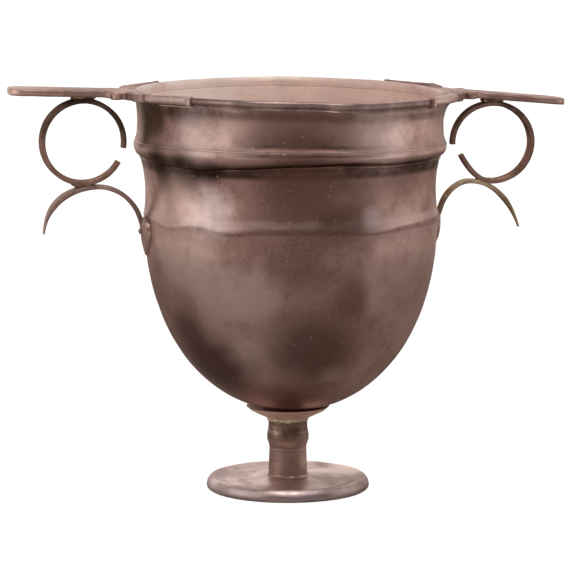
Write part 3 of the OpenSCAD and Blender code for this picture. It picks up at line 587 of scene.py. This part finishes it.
for polygon in bowl.data.polygons:
    middle = polygon.center / mm
    inward = polygon.normal.x * (middle.x - bowlAxis) + polygon.normal.y * middle.y < 0
    polygon.material_index = 1 if inward and middle.z > bowlSizes["insideFrom"] else 0


def settle(x, y, z):
    return bent(*hammered(x, y, z))


# The bands of painted light and shade follow the bends, so each vertex keeps the height that it had before
# them
levels = [vertex.co.z for vertex in bowl.data.vertices]
moveEach(bowl, settle)
bowl.data.attributes.new("level", "FLOAT", "POINT").data.foreach_set("value", levels)
faceSides = [polygon.material_index for polygon in bowl.data.polygons]
done(bowl, "bowl", "body", 30, ("inside",))
for polygon, side in zip(bowl.data.polygons, faceSides):
    polygon.material_index = side


# Applied lip moulding: a half round over a fine bead, laid along the lip in two lengths
print("lip mouldings")
mouldingSizes = {"proud": 0.75, "half": 1.15, "low": 131.05, "leftEdge": 41.45, "rightEdge": 40.55}


def mouldingSection():
    p = mouldingSizes["proud"]
    low = mouldingSizes["low"]
    bead = [(-0.1, low - 0.05), (0.55 * p, low), (0.72 * p, low + 0.12), (0.75 * p, low + 0.28),
            (0.65 * p, low + 0.45), (0.3 * p, low + 0.62)]
    full = lipTop - mouldingSizes["half"]
    dome = arc((0, 0), 1, -72, 90, 12)
    return bead + [(p * c, full + mouldingSizes["half"] * s) for c, s in dome] + [(-0.1, lipTop)]


def lipMoulding(name, start, end):
    steps = 150
    piece = bar(name, mouldingSection(), steps)

    def alongLip(x, u, v):
        turn = mixed(start, end, x / steps)
        r = lipRadius + u
        at = math.radians(turn)
        px, py = bowlAxis + r * math.cos(at), r * math.sin(at)
        px, py, pz = bent(px, py, v + 0.05 * grain((px, py, 0), 6, 3))
        nick = 0.04 * grain((px, py, v), 2.2, 4)
        return px + nick * math.cos(at), py + nick * math.sin(at), pz

    moveEach(piece, alongLip)
    clean(piece)
    return done(piece, name, "lip", 32)


leftEdge, rightEdge = mouldingSizes["leftEdge"], mouldingSizes["rightEdge"]
lipMoulding("lip_moulding_front", leftEdge - 180, -rightEdge)
lipMoulding("lip_moulding_back", rightEdge, 180 - leftEdge)

print("collar, stem and foot")
collarSizes = {"hole": 3.3, "holeTop": 25.8, "seat": 6.7, "rim": (12.6, 26.75), "edge": (13.9, 27.9)}
hole, rim, edge = (collarSizes[key] for key in ("hole", "rim", "edge"))
collarOutline = [(hole, collarSizes["holeTop"]), (hole, collarBase), (collarSizes["seat"], collarBase)]
collarOutline += curve(collarOutline[-1], (8.9, 24.9), (11.3, 25.95), rim, 14)
collarOutline += curve(rim, (12.8, 26.9), (13.1, 27.3), edge, 5)
collarOutline += [(13.0, 28.0), (10.5, 27.2), (hole, 26.2), collarOutline[0]]
collar = turned("bowl_collar", collarOutline, 0, 160)


def roughCollar(x, y, z):
    r = math.hypot(x, y) or 1
    push = 0.08 * grain((x, y, z), 5, 1) + 0.04 * grain((x, y, z), 1.5, 2)
    lift = 0.1 * grain((x, y, z), 3, 7) if z < 26.5 and r > 7 else 0
    return x * (1 + push / r), y * (1 + push / r), z + lift


moveEach(collar, roughCollar)
done(collar, "bowl_collar", "collar")

# Stem, with fine turned lines about the swelling and the waist
stemSizes = {"radius": 6.5, "waist": (6.2, 13.4), "ledge": (6.75, 16.18), "swellLow": (6.92, 16.48),
             "swellTop": (6.87, 19.15), "lineDepth": 0.07, "lineSpread": 0.14}
stemRadius, waist, ledge, swellLow, swellTop = (
    stemSizes[key] for key in ("radius", "waist", "ledge", "swellLow", "swellTop"))
stemOutline = [(0, foot), (stemRadius, foot)]
stemOutline += curve((stemRadius, foot), (6.52, 8.06), (waist[0], 10.63), waist, 18)
stemOutline += curve(waist, (waist[0], 14.8), (6.57, 15.3), ledge, 10) + [(6.86, 16.3), swellLow]
stemOutline += curve(swellLow, (7.01, 17.28), (6.97, 18.55), swellTop, 8)
stemOutline += curve(swellTop, (6.62, 19.55), (stemRadius, 20.75), (stemRadius, collarBase), 12)
stemOutline.append((0, collarBase))
turnedLines = (8.6, 9.3, 13.9, 14.5, 15.2, 20.3, 21.6)


def lineCut(r, z):
    depth, spread = stemSizes["lineDepth"], stemSizes["lineSpread"]
    return sum(depth * math.exp(-((z - line) / spread) ** 2) for line in turnedLines) * (r > 5)


fine = []
for a, b in zip(stemOutline, stemOutline[1:]):
    cuts = 3 if a[0] > 5 and b[0] > 5 else 1
    for i in range(cuts):
        r, z = mixed(a[0], b[0], i / cuts), mixed(a[1], b[1], i / cuts)
        fine.append((r - lineCut(r, z), z))
stem = turned("stem", fine + [stemOutline[-1]], 0, 128)
moveEach(stem, lambda x, y, z: (x + 0.035 * grain((x, y, z), 4, 3), y + 0.035 * grain((x, y, z), 4, 8), z))
done(stem, "stem", "stem", 40)

# Rough solder round the top of the stem
seamLow, seamHigh = (6.4, 23.05), (7.1, 24.05)
seamOutline = [seamLow] + curve(seamLow, (6.6, 23.0), (6.95, 23.3), seamHigh, 7)
seamOutline += [(seamLow[0], 24.1), seamLow]
seam = turned("stem_solder_seam", seamOutline, 0, 160)


def roughSeam(x, y, z):
    r = math.hypot(x, y)
    push = (r > 6.45) * (0.22 * grain((x, y, z), 1.6, 2) + 0.12 * grain((x, y, z), 0.7, 6))
    return x * (1 + push / r), y * (1 + push / r), z - (z < 23.9) * 0.3 * (0.4 + grain((x, y, 0), 2.4, 4))


moveEach(seam, roughSeam)
done(seam, "stem_solder_seam", "seam", 60)

# Foot: rounded rim, a groove under it, a channel inside it and a low dome
footSizes = {
    "hollow": 1.4, "hollowRadius": 23.75, "restRadius": 26.4, "rimLow": (27.15, 0.75),
    "rimTop": (26.15, 3.85), "channelOut": (25.85, 4.0), "channel": (21.8, 2.9), "domeEdge": (21.4, 3.15),
    "domeTop": 7.5,
}
hollow, rimLow, rimTop, channelOut, channel, domeEdge = (
    footSizes[key] for key in ("hollow", "rimLow", "rimTop", "channelOut", "channel", "domeEdge"))
footOutline = [(0, hollow), (footSizes["hollowRadius"], hollow), (23.8, 0.08), (23.9, 0)]
footOutline += [(footSizes["restRadius"] - 0.1, 0), (26.85, 0.35), (26.95, 0.65), rimLow]
footOutline += curve(rimLow, (27.45, 1.5), (26.95, 3.1), rimTop, 16) + [(26.02, 3.97), channelOut]
footOutline += curve(channelOut, (24.5, 3.9), (23.4, channel[1]), channel, 12) + [(21.55, 2.95), domeEdge]
footOutline += curve(domeEdge, (17.8, 3.8), (11.5, foot), (footSizes["domeTop"], foot), 16) + [(0, foot)]
footDisc = turned("foot_disc", footOutline, 0, 224)


def roughFoot(x, y, z):
    r = math.hypot(x, y) or 1
    top = eased(1.2, 2.5, z)
    push = 0.08 * grain((x, y, z), 7, 4) + 0.03 * grain((x, y, z), 2, 5)
    lift = top * (0.09 * grain((x, y, 0), 6, 1) + 0.03 * grain((x, y, 0), 2, 2))
    return x * (1 + push * top / r), y * (1 + push * top / r), z + min(lift, 0.08)


moveEach(footDisc, roughFoot)
done(footDisc, "foot_disc", "foot", 32)

# Solder run round the foot of the stem
filletInner, filletWide, filletTop = 6.2, (7.35, 4.0), (6.5, 4.95)
filletOutline = [(filletInner, filletWide[1]), filletWide]
filletOutline += curve(filletWide, (6.85, 4.3), (6.62, 4.45), filletTop, 7)
filletOutline += [(filletInner, filletTop[1]), filletOutline[0]]
fillet = turned("foot_solder_fillet", filletOutline, 0, 128)


def roughFillet(x, y, z):
    r = math.hypot(x, y)
    push = (r > 6.3) * (0.12 * grain((x, y, z), 1.8, 3) + 0.08 * grain((x, y, z), 0.8, 5))
    return x * (1 + push / r), y * (1 + push / r), z + (z > 4.1) * push


moveEach(fillet, roughFillet)
done(fillet, "foot_solder_fillet", "stem", 60)

# One handle's own sizes in millimetres; distances run outward from the bowl's axis
leftHandle = {
    "side": -1, "plateZ": 135.2, "slope": 2.0, "thick": 2.35, "width": 13.4, "tip": 93.9, "clasp": 134.5,
    "rootDrop": 2.4, "armEnd": 41.0, "ringAt": 69.4, "bore": 12.6, "ringWidth": 5.2, "gap": 0.7, "flat": 1.0,
    "end": (11.6, 6.6), "high": 9.5, "spurAt": 82.6, "spurDrop": 15.2, "spurWidth": 7.2, "archAt": 64.6,
    "archDrop": 14.2, "fullness": 0.95, "solderShift": 0.1,
}
rightHandle = {
    "side": 1, "plateZ": 131.9, "slope": -5.3, "thick": 2.15, "width": 13.0, "tip": 93.3, "clasp": 132.8,
    "rootDrop": 6.0, "armEnd": 40.1, "ringAt": 68.7, "bore": 12.7, "ringWidth": 4.5, "gap": 0.7,
    "flat": 0.96, "end": (10.7, 4.1), "high": 2.0, "spurAt": 78.2, "spurDrop": 15.8, "spurWidth": 4.6,
    "archAt": 61.0, "archDrop": 12.2, "fullness": 0.15, "solderShift": 2.0,
}
ringThick, ringEndThick, strutThick, strutWide = 1.75, 1.55, 1.5, 3.2
claspCentre, claspArc, claspTall = 14.88, 42.34, 2.6
blockTurn, notchTurn = 14.5, 20.6
knobAt, knobSpread, knobRadius, knobTall = 59.4, 8.0, 1.9, 2.3
leafProud, leafTipProud, leafSunk = 1.9, 1.2, 0.5
leafFace, leafTop, leafTall, leafWide = ridgeRadius + leafProud, ridge - 0.4, 12.6, 13.0
tipRound, plateEdge, beadRadius, tongueSteps = 5.3, 0.62, 0.28, 7


def plateTop(h, d):
    return h["plateZ"] + (d - h["ringAt"]) * math.tan(math.radians(h["slope"]))


def plateUnder(h, d):
    return plateTop(h, d) - h["thick"]


def ringCentre(h):
    return plateUnder(h, h["ringAt"]) - h["gap"] - h["bore"] * h["flat"] - ringThick


# From a handle's own directions to the cup's: outward distance, sideways, height
def placed(h, d, y, z):
    return bowlAxis + h["side"] * d, h["side"] * y, z


def claspReach(turn):
    t = math.radians(turn)
    return claspCentre * math.cos(t) + math.sqrt(claspArc**2 - (claspCentre * math.sin(t)) ** 2)


# A direction seen from a handle, given as a direction round the cup
def roundCup(h, turn):
    world = (180 if h["side"] < 0 else 0) + turn
    return world - 360 if world > 180 else world


# Crescent, recess, end block, small groove, second block and notch: up to which angle each goes,
# how far it stands out, and how far its lower and upper faces move
slitTurn = (blockTurn + notchTurn) / 2 - 0.1
claspParts = (
    (blockTurn - 3.6, 0.0, 0.0, 0.0), (blockTurn - 0.2, -0.5, 0.15, -0.1),
    (slitTurn - 0.25, 0.45, -0.1, 0.0), (slitTurn + 0.15, -0.05, 0.05, -0.1),
    (notchTurn - 0.4, 0.35, -0.15, 0.08), (notchTurn + 0.7, -1.0, 0.3, -0.4))


# The crescent and its two arms are one bar along the lip; each arm tapers and ends in a bead
def claspShape(turn, claspEnd):
    a = abs(turn)
    r = claspReach(a)
    for until, push, low, high in claspParts:
        if a < until:
            return r + push, low, high, 0.3
    if a > claspEnd - 1.5:
        bead = math.sin(math.pi * min(1, 0.15 + 0.85 * (claspEnd - a) / 1.5)) ** 0.6
        return r + 0.5 * bead, -0.45 - 0.1 * bead, 0.1 * bead, 0.5
    if a > claspEnd - 2.0:
        return r - 0.2, -0.2, -0.12, 0.7
    along = (a - notchTurn) / (claspEnd - notchTurn)
    return r, -0.35 * along, 0.0, mixed(0.7, 1.0, along)


def claspBar(name, h):
    steps, claspEnd = 360, h["armEnd"]
    piece = bar(name, softSection(14, 3, 4), steps)
    seed = 185 if h["side"] < 0 else 5

    def alongLip(x, u, v):
        turn = mixed(-claspEnd, claspEnd, x / steps)
        r, low, high, soft = claspShape(turn, claspEnd)
        inside = lipRadius - 0.12
        wide, thick = max((r - inside) / 2, 0.3), (claspTall + high - low) / 2
        round = soft if u > 0 else 0.2
        out, up = sized(u, v, wide, thick, min(round, wide * 0.9), min(round * 1.3, thick * 0.9))
        follow = eased(10, 20, abs(turn))
        lip = softly(sagByTurn, roundCup(h, turn))
        level = mixed(h["clasp"] - lipTop, lip + 0.4, follow)
        z = lipTop + level - claspTall / 2 + (high + low) / 2 + up
        reach = inside + wide + out
        if v > 0:
            inner = lipRadius + 2.9 * max(0, 1 - (turn / 27) ** 2) - 0.1
            ledge = 1 - eased(inner - 0.1, inner + 0.25, reach)
            z = mixed(z, min(z, lipTop + lip - 0.12), ledge)
        t = math.radians(turn)
        wobble = 0.05 * grain((reach * math.cos(t), reach * math.sin(t), z), 3, seed)
        reach += wobble
        return placed(h, reach * math.cos(t), reach * math.sin(t), z + wobble)

    moveEach(piece, alongLip)
    return piece


# The lip's fine bead goes on under each arm
def armBead(name, h, hand):
    steps = 50
    piece = bar(name, [(beadRadius * c, beadRadius * s) for c, s in arc((0, 0), 1, 0, 330, 11)], steps)

    def underArm(x, u, v):
        turn = hand * mixed(24, h["armEnd"], x / steps)
        t = math.radians(turn)
        reach = lipRadius + beadRadius + u
        z = 131.2 + v + softly(sagByTurn, roundCup(h, turn)) + 0.05 * grain((x / 5, 0, 0), 1, hand)
        return placed(h, reach * math.cos(t), reach * math.sin(t), z)

    moveEach(piece, underArm)
    return piece


# The thumb plate itself, from its root to the rounded tip
def plateHalf(h, d):
    w, tip, r, x = h["width"] / 2, h["tip"], tipRound, h["ringAt"]
    side = [(tip - r, w), (x + 4, w - 0.15), (x - 3, w - 0.7)] + curve(
        (x - 3, w - 0.7), (knobAt + 4.4, w - 0.9), (knobAt + 2.9, knobSpread - 2.6),
        (knobAt + knobRadius, knobSpread - 0.4), 10) + [(knobAt - 0.6, knobSpread), (50, knobSpread + 0.6)]
    if d > tip - r:
        return w - r + math.sqrt(max(r * r - (d - tip + r) ** 2, 0.01))
    return readAt(side, d)


def plateHeights(h, d):
    x, high = h["ringAt"], h["clasp"]
    low = high - claspTall
    top = [(50, high), (lipRadius + 1.5, high)] + curve(
        (lipRadius + 1.5, high), (lipRadius + 6, high),
        (x - 9, plateTop(h, x - 9)), (x - 4, plateTop(h, x - 4)), 12)
    under = [(50, low), (lipRadius + 4, low)] + curve(
        (lipRadius + 4, low), (lipRadius + 7, low),
        (x - 8, plateUnder(h, x - 8)), (x - 5, plateUnder(h, x - 5)), 12)
    upper = readAt(top, d) if d < x - 4 else plateTop(h, d)
    lower = readAt(under, d) if d < x - 5 else plateUnder(h, d)
    return upper, lower


def plateBar(name, h):
    flats, rounds = 46, 26
    piece = bar(name, softSection(10, 2, 4), flats + rounds)
    bend = h["tip"] - tipRound
    stations = [mixed(53.5, bend, i / flats) for i in range(flats)]
    stations += [bend + tipRound * math.sin(math.radians(90 * i / rounds)) for i in range(rounds + 1)]
    widths = [plateHalf(h, d) for d in stations]
    heights = [plateHeights(h, d) for d in stations]

    def alongPlate(x, u, v):
        i = int(x + 0.5)
        d = stations[i]
        upper, lower = heights[i]
        edge = plateEdge * min(1, 0.35 + (h["tip"] - d) * 1.2)
        out, up = sized(u, v, widths[i], (upper - lower) / 2, edge, 0.6)
        ending = max(0.0, plateEdge - (h["tip"] - d))
        fall = plateEdge - math.sqrt(max(plateEdge**2 - ending**2, 0))
        up -= math.copysign(fall, v) * (abs(v) > 3)
        z = (upper + lower) / 2 + up
        z += 0.07 * grain((d, out, 0), 7, 4) + 0.03 * grain((d, out, z), 2.5, 6)
        return placed(h, d, out + 0.04 * grain((d, 0, z), 4, 7), z)

    moveEach(piece, alongPlate)
    return piece


def knobs(h):
    made = []
    for side in (-1, 1):
        z = h["clasp"] - claspTall + 0.15
        x, y, middle = placed(h, knobAt, side * knobSpread, z + knobTall / 2)
        pick()
        bpy.ops.mesh.primitive_cylinder_add(vertices=48, radius=knobRadius * mm, depth=knobTall * mm,
                                            location=(x * mm, y * mm, middle * mm))
        fixPlace()
        editAll()
        bpy.ops.mesh.bevel(offset=0.5 * mm, segments=4, affect="EDGES")
        bpy.ops.object.mode_set(mode="OBJECT")
        made.append(bpy.context.object)
    return made


# The root under the crescent, running down on to the neck
def rootBar(name, h):
    low = h["clasp"] - claspTall
    drop = h["rootDrop"]
    face = [(4.5, 0.5), (4.5, 0.1)]
    face += curve((4.5, 0.1), (1.5, -0.12 * drop), (0.4, -0.35 * drop), (-0.3, -drop), 12)
    section = [(-1.2, 0.5)] + face + [(-1.2, -drop)]
    steps = 24
    piece = bar(name, section, steps)

    def across(x, u, v):
        y = mixed(-knobSpread, knobSpread, x / steps)
        back = lipRadius - math.sqrt(lipRadius**2 - y * y)
        hold = eased(0.5, 3.5, u)
        ends = min(1, (knobSpread - abs(y)) / 0.7)
        down = v * mixed(0.75, 1, ends) if v < 0 else v
        return placed(h, lipRadius + u - back * (1 - hold), y, low + down)

    moveEach(piece, across)
    return piece


def thumbPlate(name, h):
    parts = [plateBar(name, h), claspBar(name + "_clasp", h), rootBar(name + "_root", h)] + knobs(h)
    parts += [armBead(name + "_bead", h, hand) for hand in (-1, 1)]
    for part in parts:
        clean(part)
    piece = joined(parts)
    piece.name = name
    return done(piece, name, "plate" if h["side"] < 0 else "rightPlate", 34)


# A strip bent along a line, with its own width and thickness at each place
def strip(name, h, line, halfWidths, halfThicks, corner=0.3, seed=0):
    steps = len(line) - 1
    piece = bar(name, softSection(6, 2, 3), steps)
    normals = [Vector(b) - Vector(a) for a, b in zip(beside(line, 0.0), beside(line, 1.0))]

    def alongLine(x, u, v):
        i = int(x + 0.5)
        soft = min(corner, halfThicks[i] * 0.8, halfWidths[i] * 0.8)
        out, up = sized(u, v, halfWidths[i], halfThicks[i], soft)
        place = (line[i][0], out, line[i][1])
        up += 0.05 * grain(place, 5, seed) + 0.025 * grain((place[0], out, v + place[2]), 1.8, seed + 3)
        out += 0.05 * grain((place[0], v, place[2]), 4, seed + 5)
        return placed(h, line[i][0] + normals[i].x * up, out, line[i][1] + normals[i].y * up)

    moveEach(piece, alongLine)
    clean(piece)
    return piece


def ringLine(h):
    rx, rz = h["bore"] + ringThick / 2, h["bore"] * h["flat"] + ringThick / 2
    low, end = (0, -rz), (-h["end"][0], -h["end"][1])
    reach = 0.36 * math.dist(low, end)
    steps = 84
    around = []
    for i in range(steps + 1):
        a = math.radians(180 + h["high"] - (270 + h["high"]) * i / steps)
        around.append((rx * math.cos(a), rz * math.sin(a)))
    inward = curve(low, (-reach, -rz), (end[0] + 0.5 * reach, end[1] - 0.866 * reach), end, 24)
    return [(x + h["ringAt"], z + ringCentre(h)) for x, z in around + inward]


def fingerRing(name, h):
    line = ringLine(h)
    n = len(line) - 1
    w, r = h["ringWidth"], h["bore"] + 3
    wide = [(-r, 0.33 * w), (0, 0.46 * w), (r, 0.5 * w)]
    widths = [readAt(wide, x - h["ringAt"]) for x, z in line]
    thicks = [mixed(ringEndThick, ringThick, math.sin(math.pi * i / n)) / 2 for i in range(n + 1)]
    piece = strip(name, h, line, widths, thicks, 0.32, 4 + h["side"])
    return done(piece, name, "ring", 36)


def strutLine(h):
    top = ringCentre(h) - h["archDrop"] - strutThick / 2
    a, s, f, drop = h["archAt"], h["spurAt"], h["fullness"], h["spurDrop"]
    tip, end = (s, top - drop), (leafFace + 0.1, leafTop + 0.6)
    spur = curve(tip, (s - (0.2 - 0.17 * f) * (s - a), top - 0.4 * drop),
                 (a + (0.43 + 0.18 * f) * (s - a), top), (a, top), 36)
    fall = curve((a, top), (a - 0.46 * (a - end[0]), top),
                 (end[0] + 0.13 * (a - end[0]), end[1] + 0.55 * (top - end[1])), end, 26)
    tongue = [(leafFace + 0.05 - 0.12 * i, leafTop + 0.6 - 0.6 * i) for i in range(1, tongueSteps + 1)]
    return [tip] + spur + fall + tongue


def spurStrut(name, h):
    line = strutLine(h)
    n = len(line) - 1
    a, s, w = h["archAt"], h["spurAt"], h["spurWidth"] / 2
    widest = a + 0.6 * (s - a)
    plan = [(s + 2, 0.3)]
    plan += curve((s + 2, 0.3), (s - 0.4, 0.48 * w), (widest + 2.6, w), (widest, w), 16)
    plan += curve((widest, w), (widest - 3, w), (a + 3, strutWide / 2), (a, strutWide / 2), 12)
    plan += [(leafFace + strutThick, strutWide / 2), (leafFace - 2, 0.3 * strutWide)]
    widths = [readAt(plan, x) for x, z in line]
    body = n - tongueSteps
    thicks = [strutThick / 2 * min(1, 0.3 + 3.2 * i / body)
              * (1 if i <= body else mixed(1, 0.35, (i - body) / tongueSteps)) for i in range(n + 1)]
    piece = strip(name, h, line, widths, thicks, 0.34, 14 + h["side"])
    return done(piece, name, "strut" if h["side"] < 0 else "olive", 36)


# Ivy-leaf plate: its outline drawn, then drawn in ring by ring to a low crown and laid on the bowl
def leafPlate(name, h):
    w, t = leafWide / 2, leafTall
    half = [(0, -t)] + curve((0, -t), (0.35 * w, -0.78 * t), (0.98 * w, -0.62 * t), (w, -0.36 * t), 14)
    half += curve((w, -0.36 * t), (w, -0.1 * t), (0.72 * w, 0), (0.42 * w, 0), 12)
    half += curve((0.42 * w, 0), (0.22 * w, 0), (0.1 * w, -0.04 * t), (0, -0.09 * t), 6)
    full = half + [(-y, z) for y, z in half[-2:0:-1]]
    piece = chain(name, [(0, y, z) for y, z in full + [full[0]]])
    editAll()
    bpy.ops.mesh.remove_doubles(threshold=0.01 * mm)
    bpy.ops.mesh.select_all(action="SELECT")
    bpy.ops.mesh.extrude_region_move(TRANSFORM_OT_translate={"value": (mm, 0, 0)})
    heart = (0, 0, -0.42 * t * mm)
    shares = (0.96, 0.9, 0.8, 0.66, 0.5, 0.32, 0.15)
    last = 1.0
    for i, share in enumerate(shares):
        bpy.ops.mesh.extrude_region_move(TRANSFORM_OT_translate={"value": (mm, 0, 0)})
        bpy.ops.transform.resize(value=(1, share / last, share / last), center_override=heart)
        last = share
    bpy.ops.mesh.extrude_region_move(TRANSFORM_OT_translate={"value": (mm, 0, 0)})
    bpy.ops.mesh.merge(type="CENTER")
    crowns = (0.0, 0.62, 0.86, 0.94, 1.0, 1.03, 1.06, 1.08, 1.1, 1.1)

    def onBowl(x, y, z):
        layer = min(int(x + 0.5), len(crowns) - 1)
        height = leafTop + z
        fullness = bowlSizes["fullness"]
        near = min(height, bodyTop - 0.01)
        depth = (bodyTop - near) / (bodyTop - bowlBase)
        body = bowlSizes["bodyRadius"] * (1 - depth**fullness) ** (1 / fullness)
        proud = mixed(leafTipProud, leafProud, (z + t) / t)
        r = body - leafSunk + crowns[layer] * (proud + leafSunk) - 0.1 * (crowns[layer] > 0.9)
        out = math.sqrt(max(r * r - y * y, 0))
        rough = 0.06 * grain((x, y, z), 2.5, 3 + h["side"]) if layer > 1 else 0
        return placed(h, out + rough, y, height)

    moveEach(piece, onBowl)
    clean(piece)
    rivet, rivetRadius = placed(h, leafFace - 0.5, 0, leafTop - 4.4), 0.95
    pick()
    bpy.ops.mesh.primitive_uv_sphere_add(segments=24, ring_count=16, radius=rivetRadius * mm,
                                         location=tuple(v * mm for v in rivet))
    fixPlace()
    piece = joined([piece, bpy.context.object])
    return done(piece, name, "leaf", 40)


# Solder: a lump pressed between two pieces, uneven all over
def lump(name, h, place, size, seed):
    pick()
    centre = tuple(v * mm for v in placed(h, *place))
    bpy.ops.mesh.primitive_cube_add(size=mm, location=centre)
    piece = bpy.context.object
    piece.name = name
    piece.data.name = name
    fixPlace()
    editAll()
    bpy.ops.mesh.subdivide(number_cuts=11)
    bpy.ops.transform.tosphere(value=0.72)
    bpy.ops.transform.resize(value=size, center_override=centre)
    bpy.ops.object.mode_set(mode="OBJECT")
    middle = Vector(placed(h, *place))

    def uneven(x, y, z):
        away = Vector((x, y, z)) - middle
        share = 1 + 0.32 * grain((x, y, z), 1.5, seed) + 0.14 * grain((x, y, z), 0.6, seed + 2)
        return middle + away * share

    moveEach(piece, uneven)
    clean(piece)
    return done(piece, name, "solder", 60)


for side, h in (("left", leftHandle), ("right", rightHandle)):
    print(side + " handle")
    thumbPlate(side + "_thumb_plate", h)
    fingerRing(side + "_finger_ring", h)
    spurStrut(side + "_spur_strut", h)
    leafPlate(side + "_leaf_plate", h)
    x = h["ringAt"]
    lump(side + "_plate_solder", h, (x, 0, plateUnder(h, x) - 0.45), (6.6, 0.72 * h["ringWidth"], 1.5), 3)
    x -= h["solderShift"]
    archTop = ringCentre(h) - h["archDrop"]
    ringDeep = math.sqrt(max((h["bore"] + ringThick) ** 2 - h["solderShift"] ** 2, 0)) * h["flat"]
    between = (ringCentre(h) - ringDeep + 0.3 + archTop - 0.3) / 2
    lump(side + "_ring_solder", h, (x, 0, between), (6.2, 0.6 * h["ringWidth"], 1.7), 7)

print("floor and light")
# Paper floor: it keeps the cup's shadow near by, and is white far off
floorTone, nearGlow, farGlow, mirrored = tone(0.42, 0.395, 0.38), 0.84, 0.14, 0.8
fadeStart, fadeEnd = 0.35, 1.0
black, white = tone(0.0, 0.0, 0.0), tone(1.0, 1.0, 1.0)
pick()
bpy.ops.mesh.primitive_plane_add(size=16, location=(0, 0, 0))
floor = bpy.context.object
floor.name = "floor"
paper = bpy.data.materials.new("paper")
paper.use_nodes = True
tree = paper.node_tree
tree.nodes.clear()
path = tree.nodes.new("ShaderNodeLightPath")
cameraRay, glossyRay, throughRay = (Tap(tree, path.outputs[name]) for name in (
    "Is Camera Ray", "Is Glossy Ray", "Is Transmission Ray"))
place = Tap(tree, tree.nodes.new("ShaderNodeTexCoord").outputs["Object"])
away = place.vector("LENGTH", place, output=1).step(fadeStart, fadeEnd)
seen = cameraRay * (nearGlow + away * farGlow) + (glossyRay + throughRay) * away * mirrored
pale = place.node("ShaderNodeBsdfDiffuse", {}, {"Color": floorTone})
shine = place.node("ShaderNodeEmission", {}, {"Color": seen.blend(black, white), "Strength": 1.0})
both = place.node("ShaderNodeAddShader", {}, {0: pale, 1: shine})
out = tree.nodes.new("ShaderNodeOutputMaterial")
tree.links.new(both.socket, out.inputs["Surface"])
floor.data.materials.append(paper)

# Room: white paper behind the cup, dim on the camera's side
room = bpy.data.worlds.new("room")
bpy.context.scene.world = room
room.use_nodes = True
tree = room.node_tree
tree.nodes.clear()
path = tree.nodes.new("ShaderNodeLightPath")
cameraRay = Tap(tree, path.outputs["Is Camera Ray"])
facing = Tap(tree, tree.nodes.new("ShaderNodeTexCoord").outputs["Generated"])
behind = facing.vector("DOT_PRODUCT", facing, (0.197, 0.98, 0.0), output=1)
above = facing.part("Z")
level = behind.step(0.0, 0.9, 0.04, 0.95) + above.step(0.4, 1.0) * 0.2
level = level.math("MAXIMUM", level.math("MINIMUM", level, 1.0), cameraRay)
glow = facing.node("ShaderNodeBackground", {}, {"Color": level.blend(black, white), "Strength": 1.0})
out = tree.nodes.new("ShaderNodeOutputWorld")
tree.links.new(glow.socket, out.inputs["Surface"])


# Camera in metres and degrees, its lens and film in millimetres
cameraPlace, cameraTilt, cameraTurn = (-0.2139, -1.0656, 0.2223), 81.9495, -11.3
cameraLens, filmWidth = 208, 36
aimHeight = 0.08


# A soft box, given its direction round the cup from the camera's side, its height and its size
def softBox(name, turn, away, height, wide, tall, power):
    t = math.radians(cameraTurn - 90 + turn)
    place = Vector((away * math.cos(t), away * math.sin(t), height))
    bpy.ops.object.light_add(type="AREA", location=place)
    lamp = bpy.context.object
    lamp.name = name
    lamp.data.shape = "RECTANGLE"
    lamp.data.size = wide
    lamp.data.size_y = tall
    lamp.data.energy = power
    aim = Vector((0, 0, aimHeight)) - place
    lamp.rotation_euler = aim.to_track_quat("-Z", "Y").to_euler()


pick()
softBox("left_box", -68, 0.9, 0.36, 1.0, 0.76, 2.8)
softBox("right_box", 90, 1.0, 0.36, 0.8, 0.76, 1.5)
softBox("front_box", 12, 0.6, 0.94, 1.0, 0.8, 6.6)

pick()
bpy.ops.object.camera_add(location=cameraPlace,
                          rotation=(math.radians(cameraTilt), 0, math.radians(cameraTurn)))
camera = bpy.context.object
camera.data.lens = cameraLens
camera.data.sensor_width = filmWidth
bpy.context.scene.camera = camera
bpy.context.scene.view_settings.view_transform = "Standard"
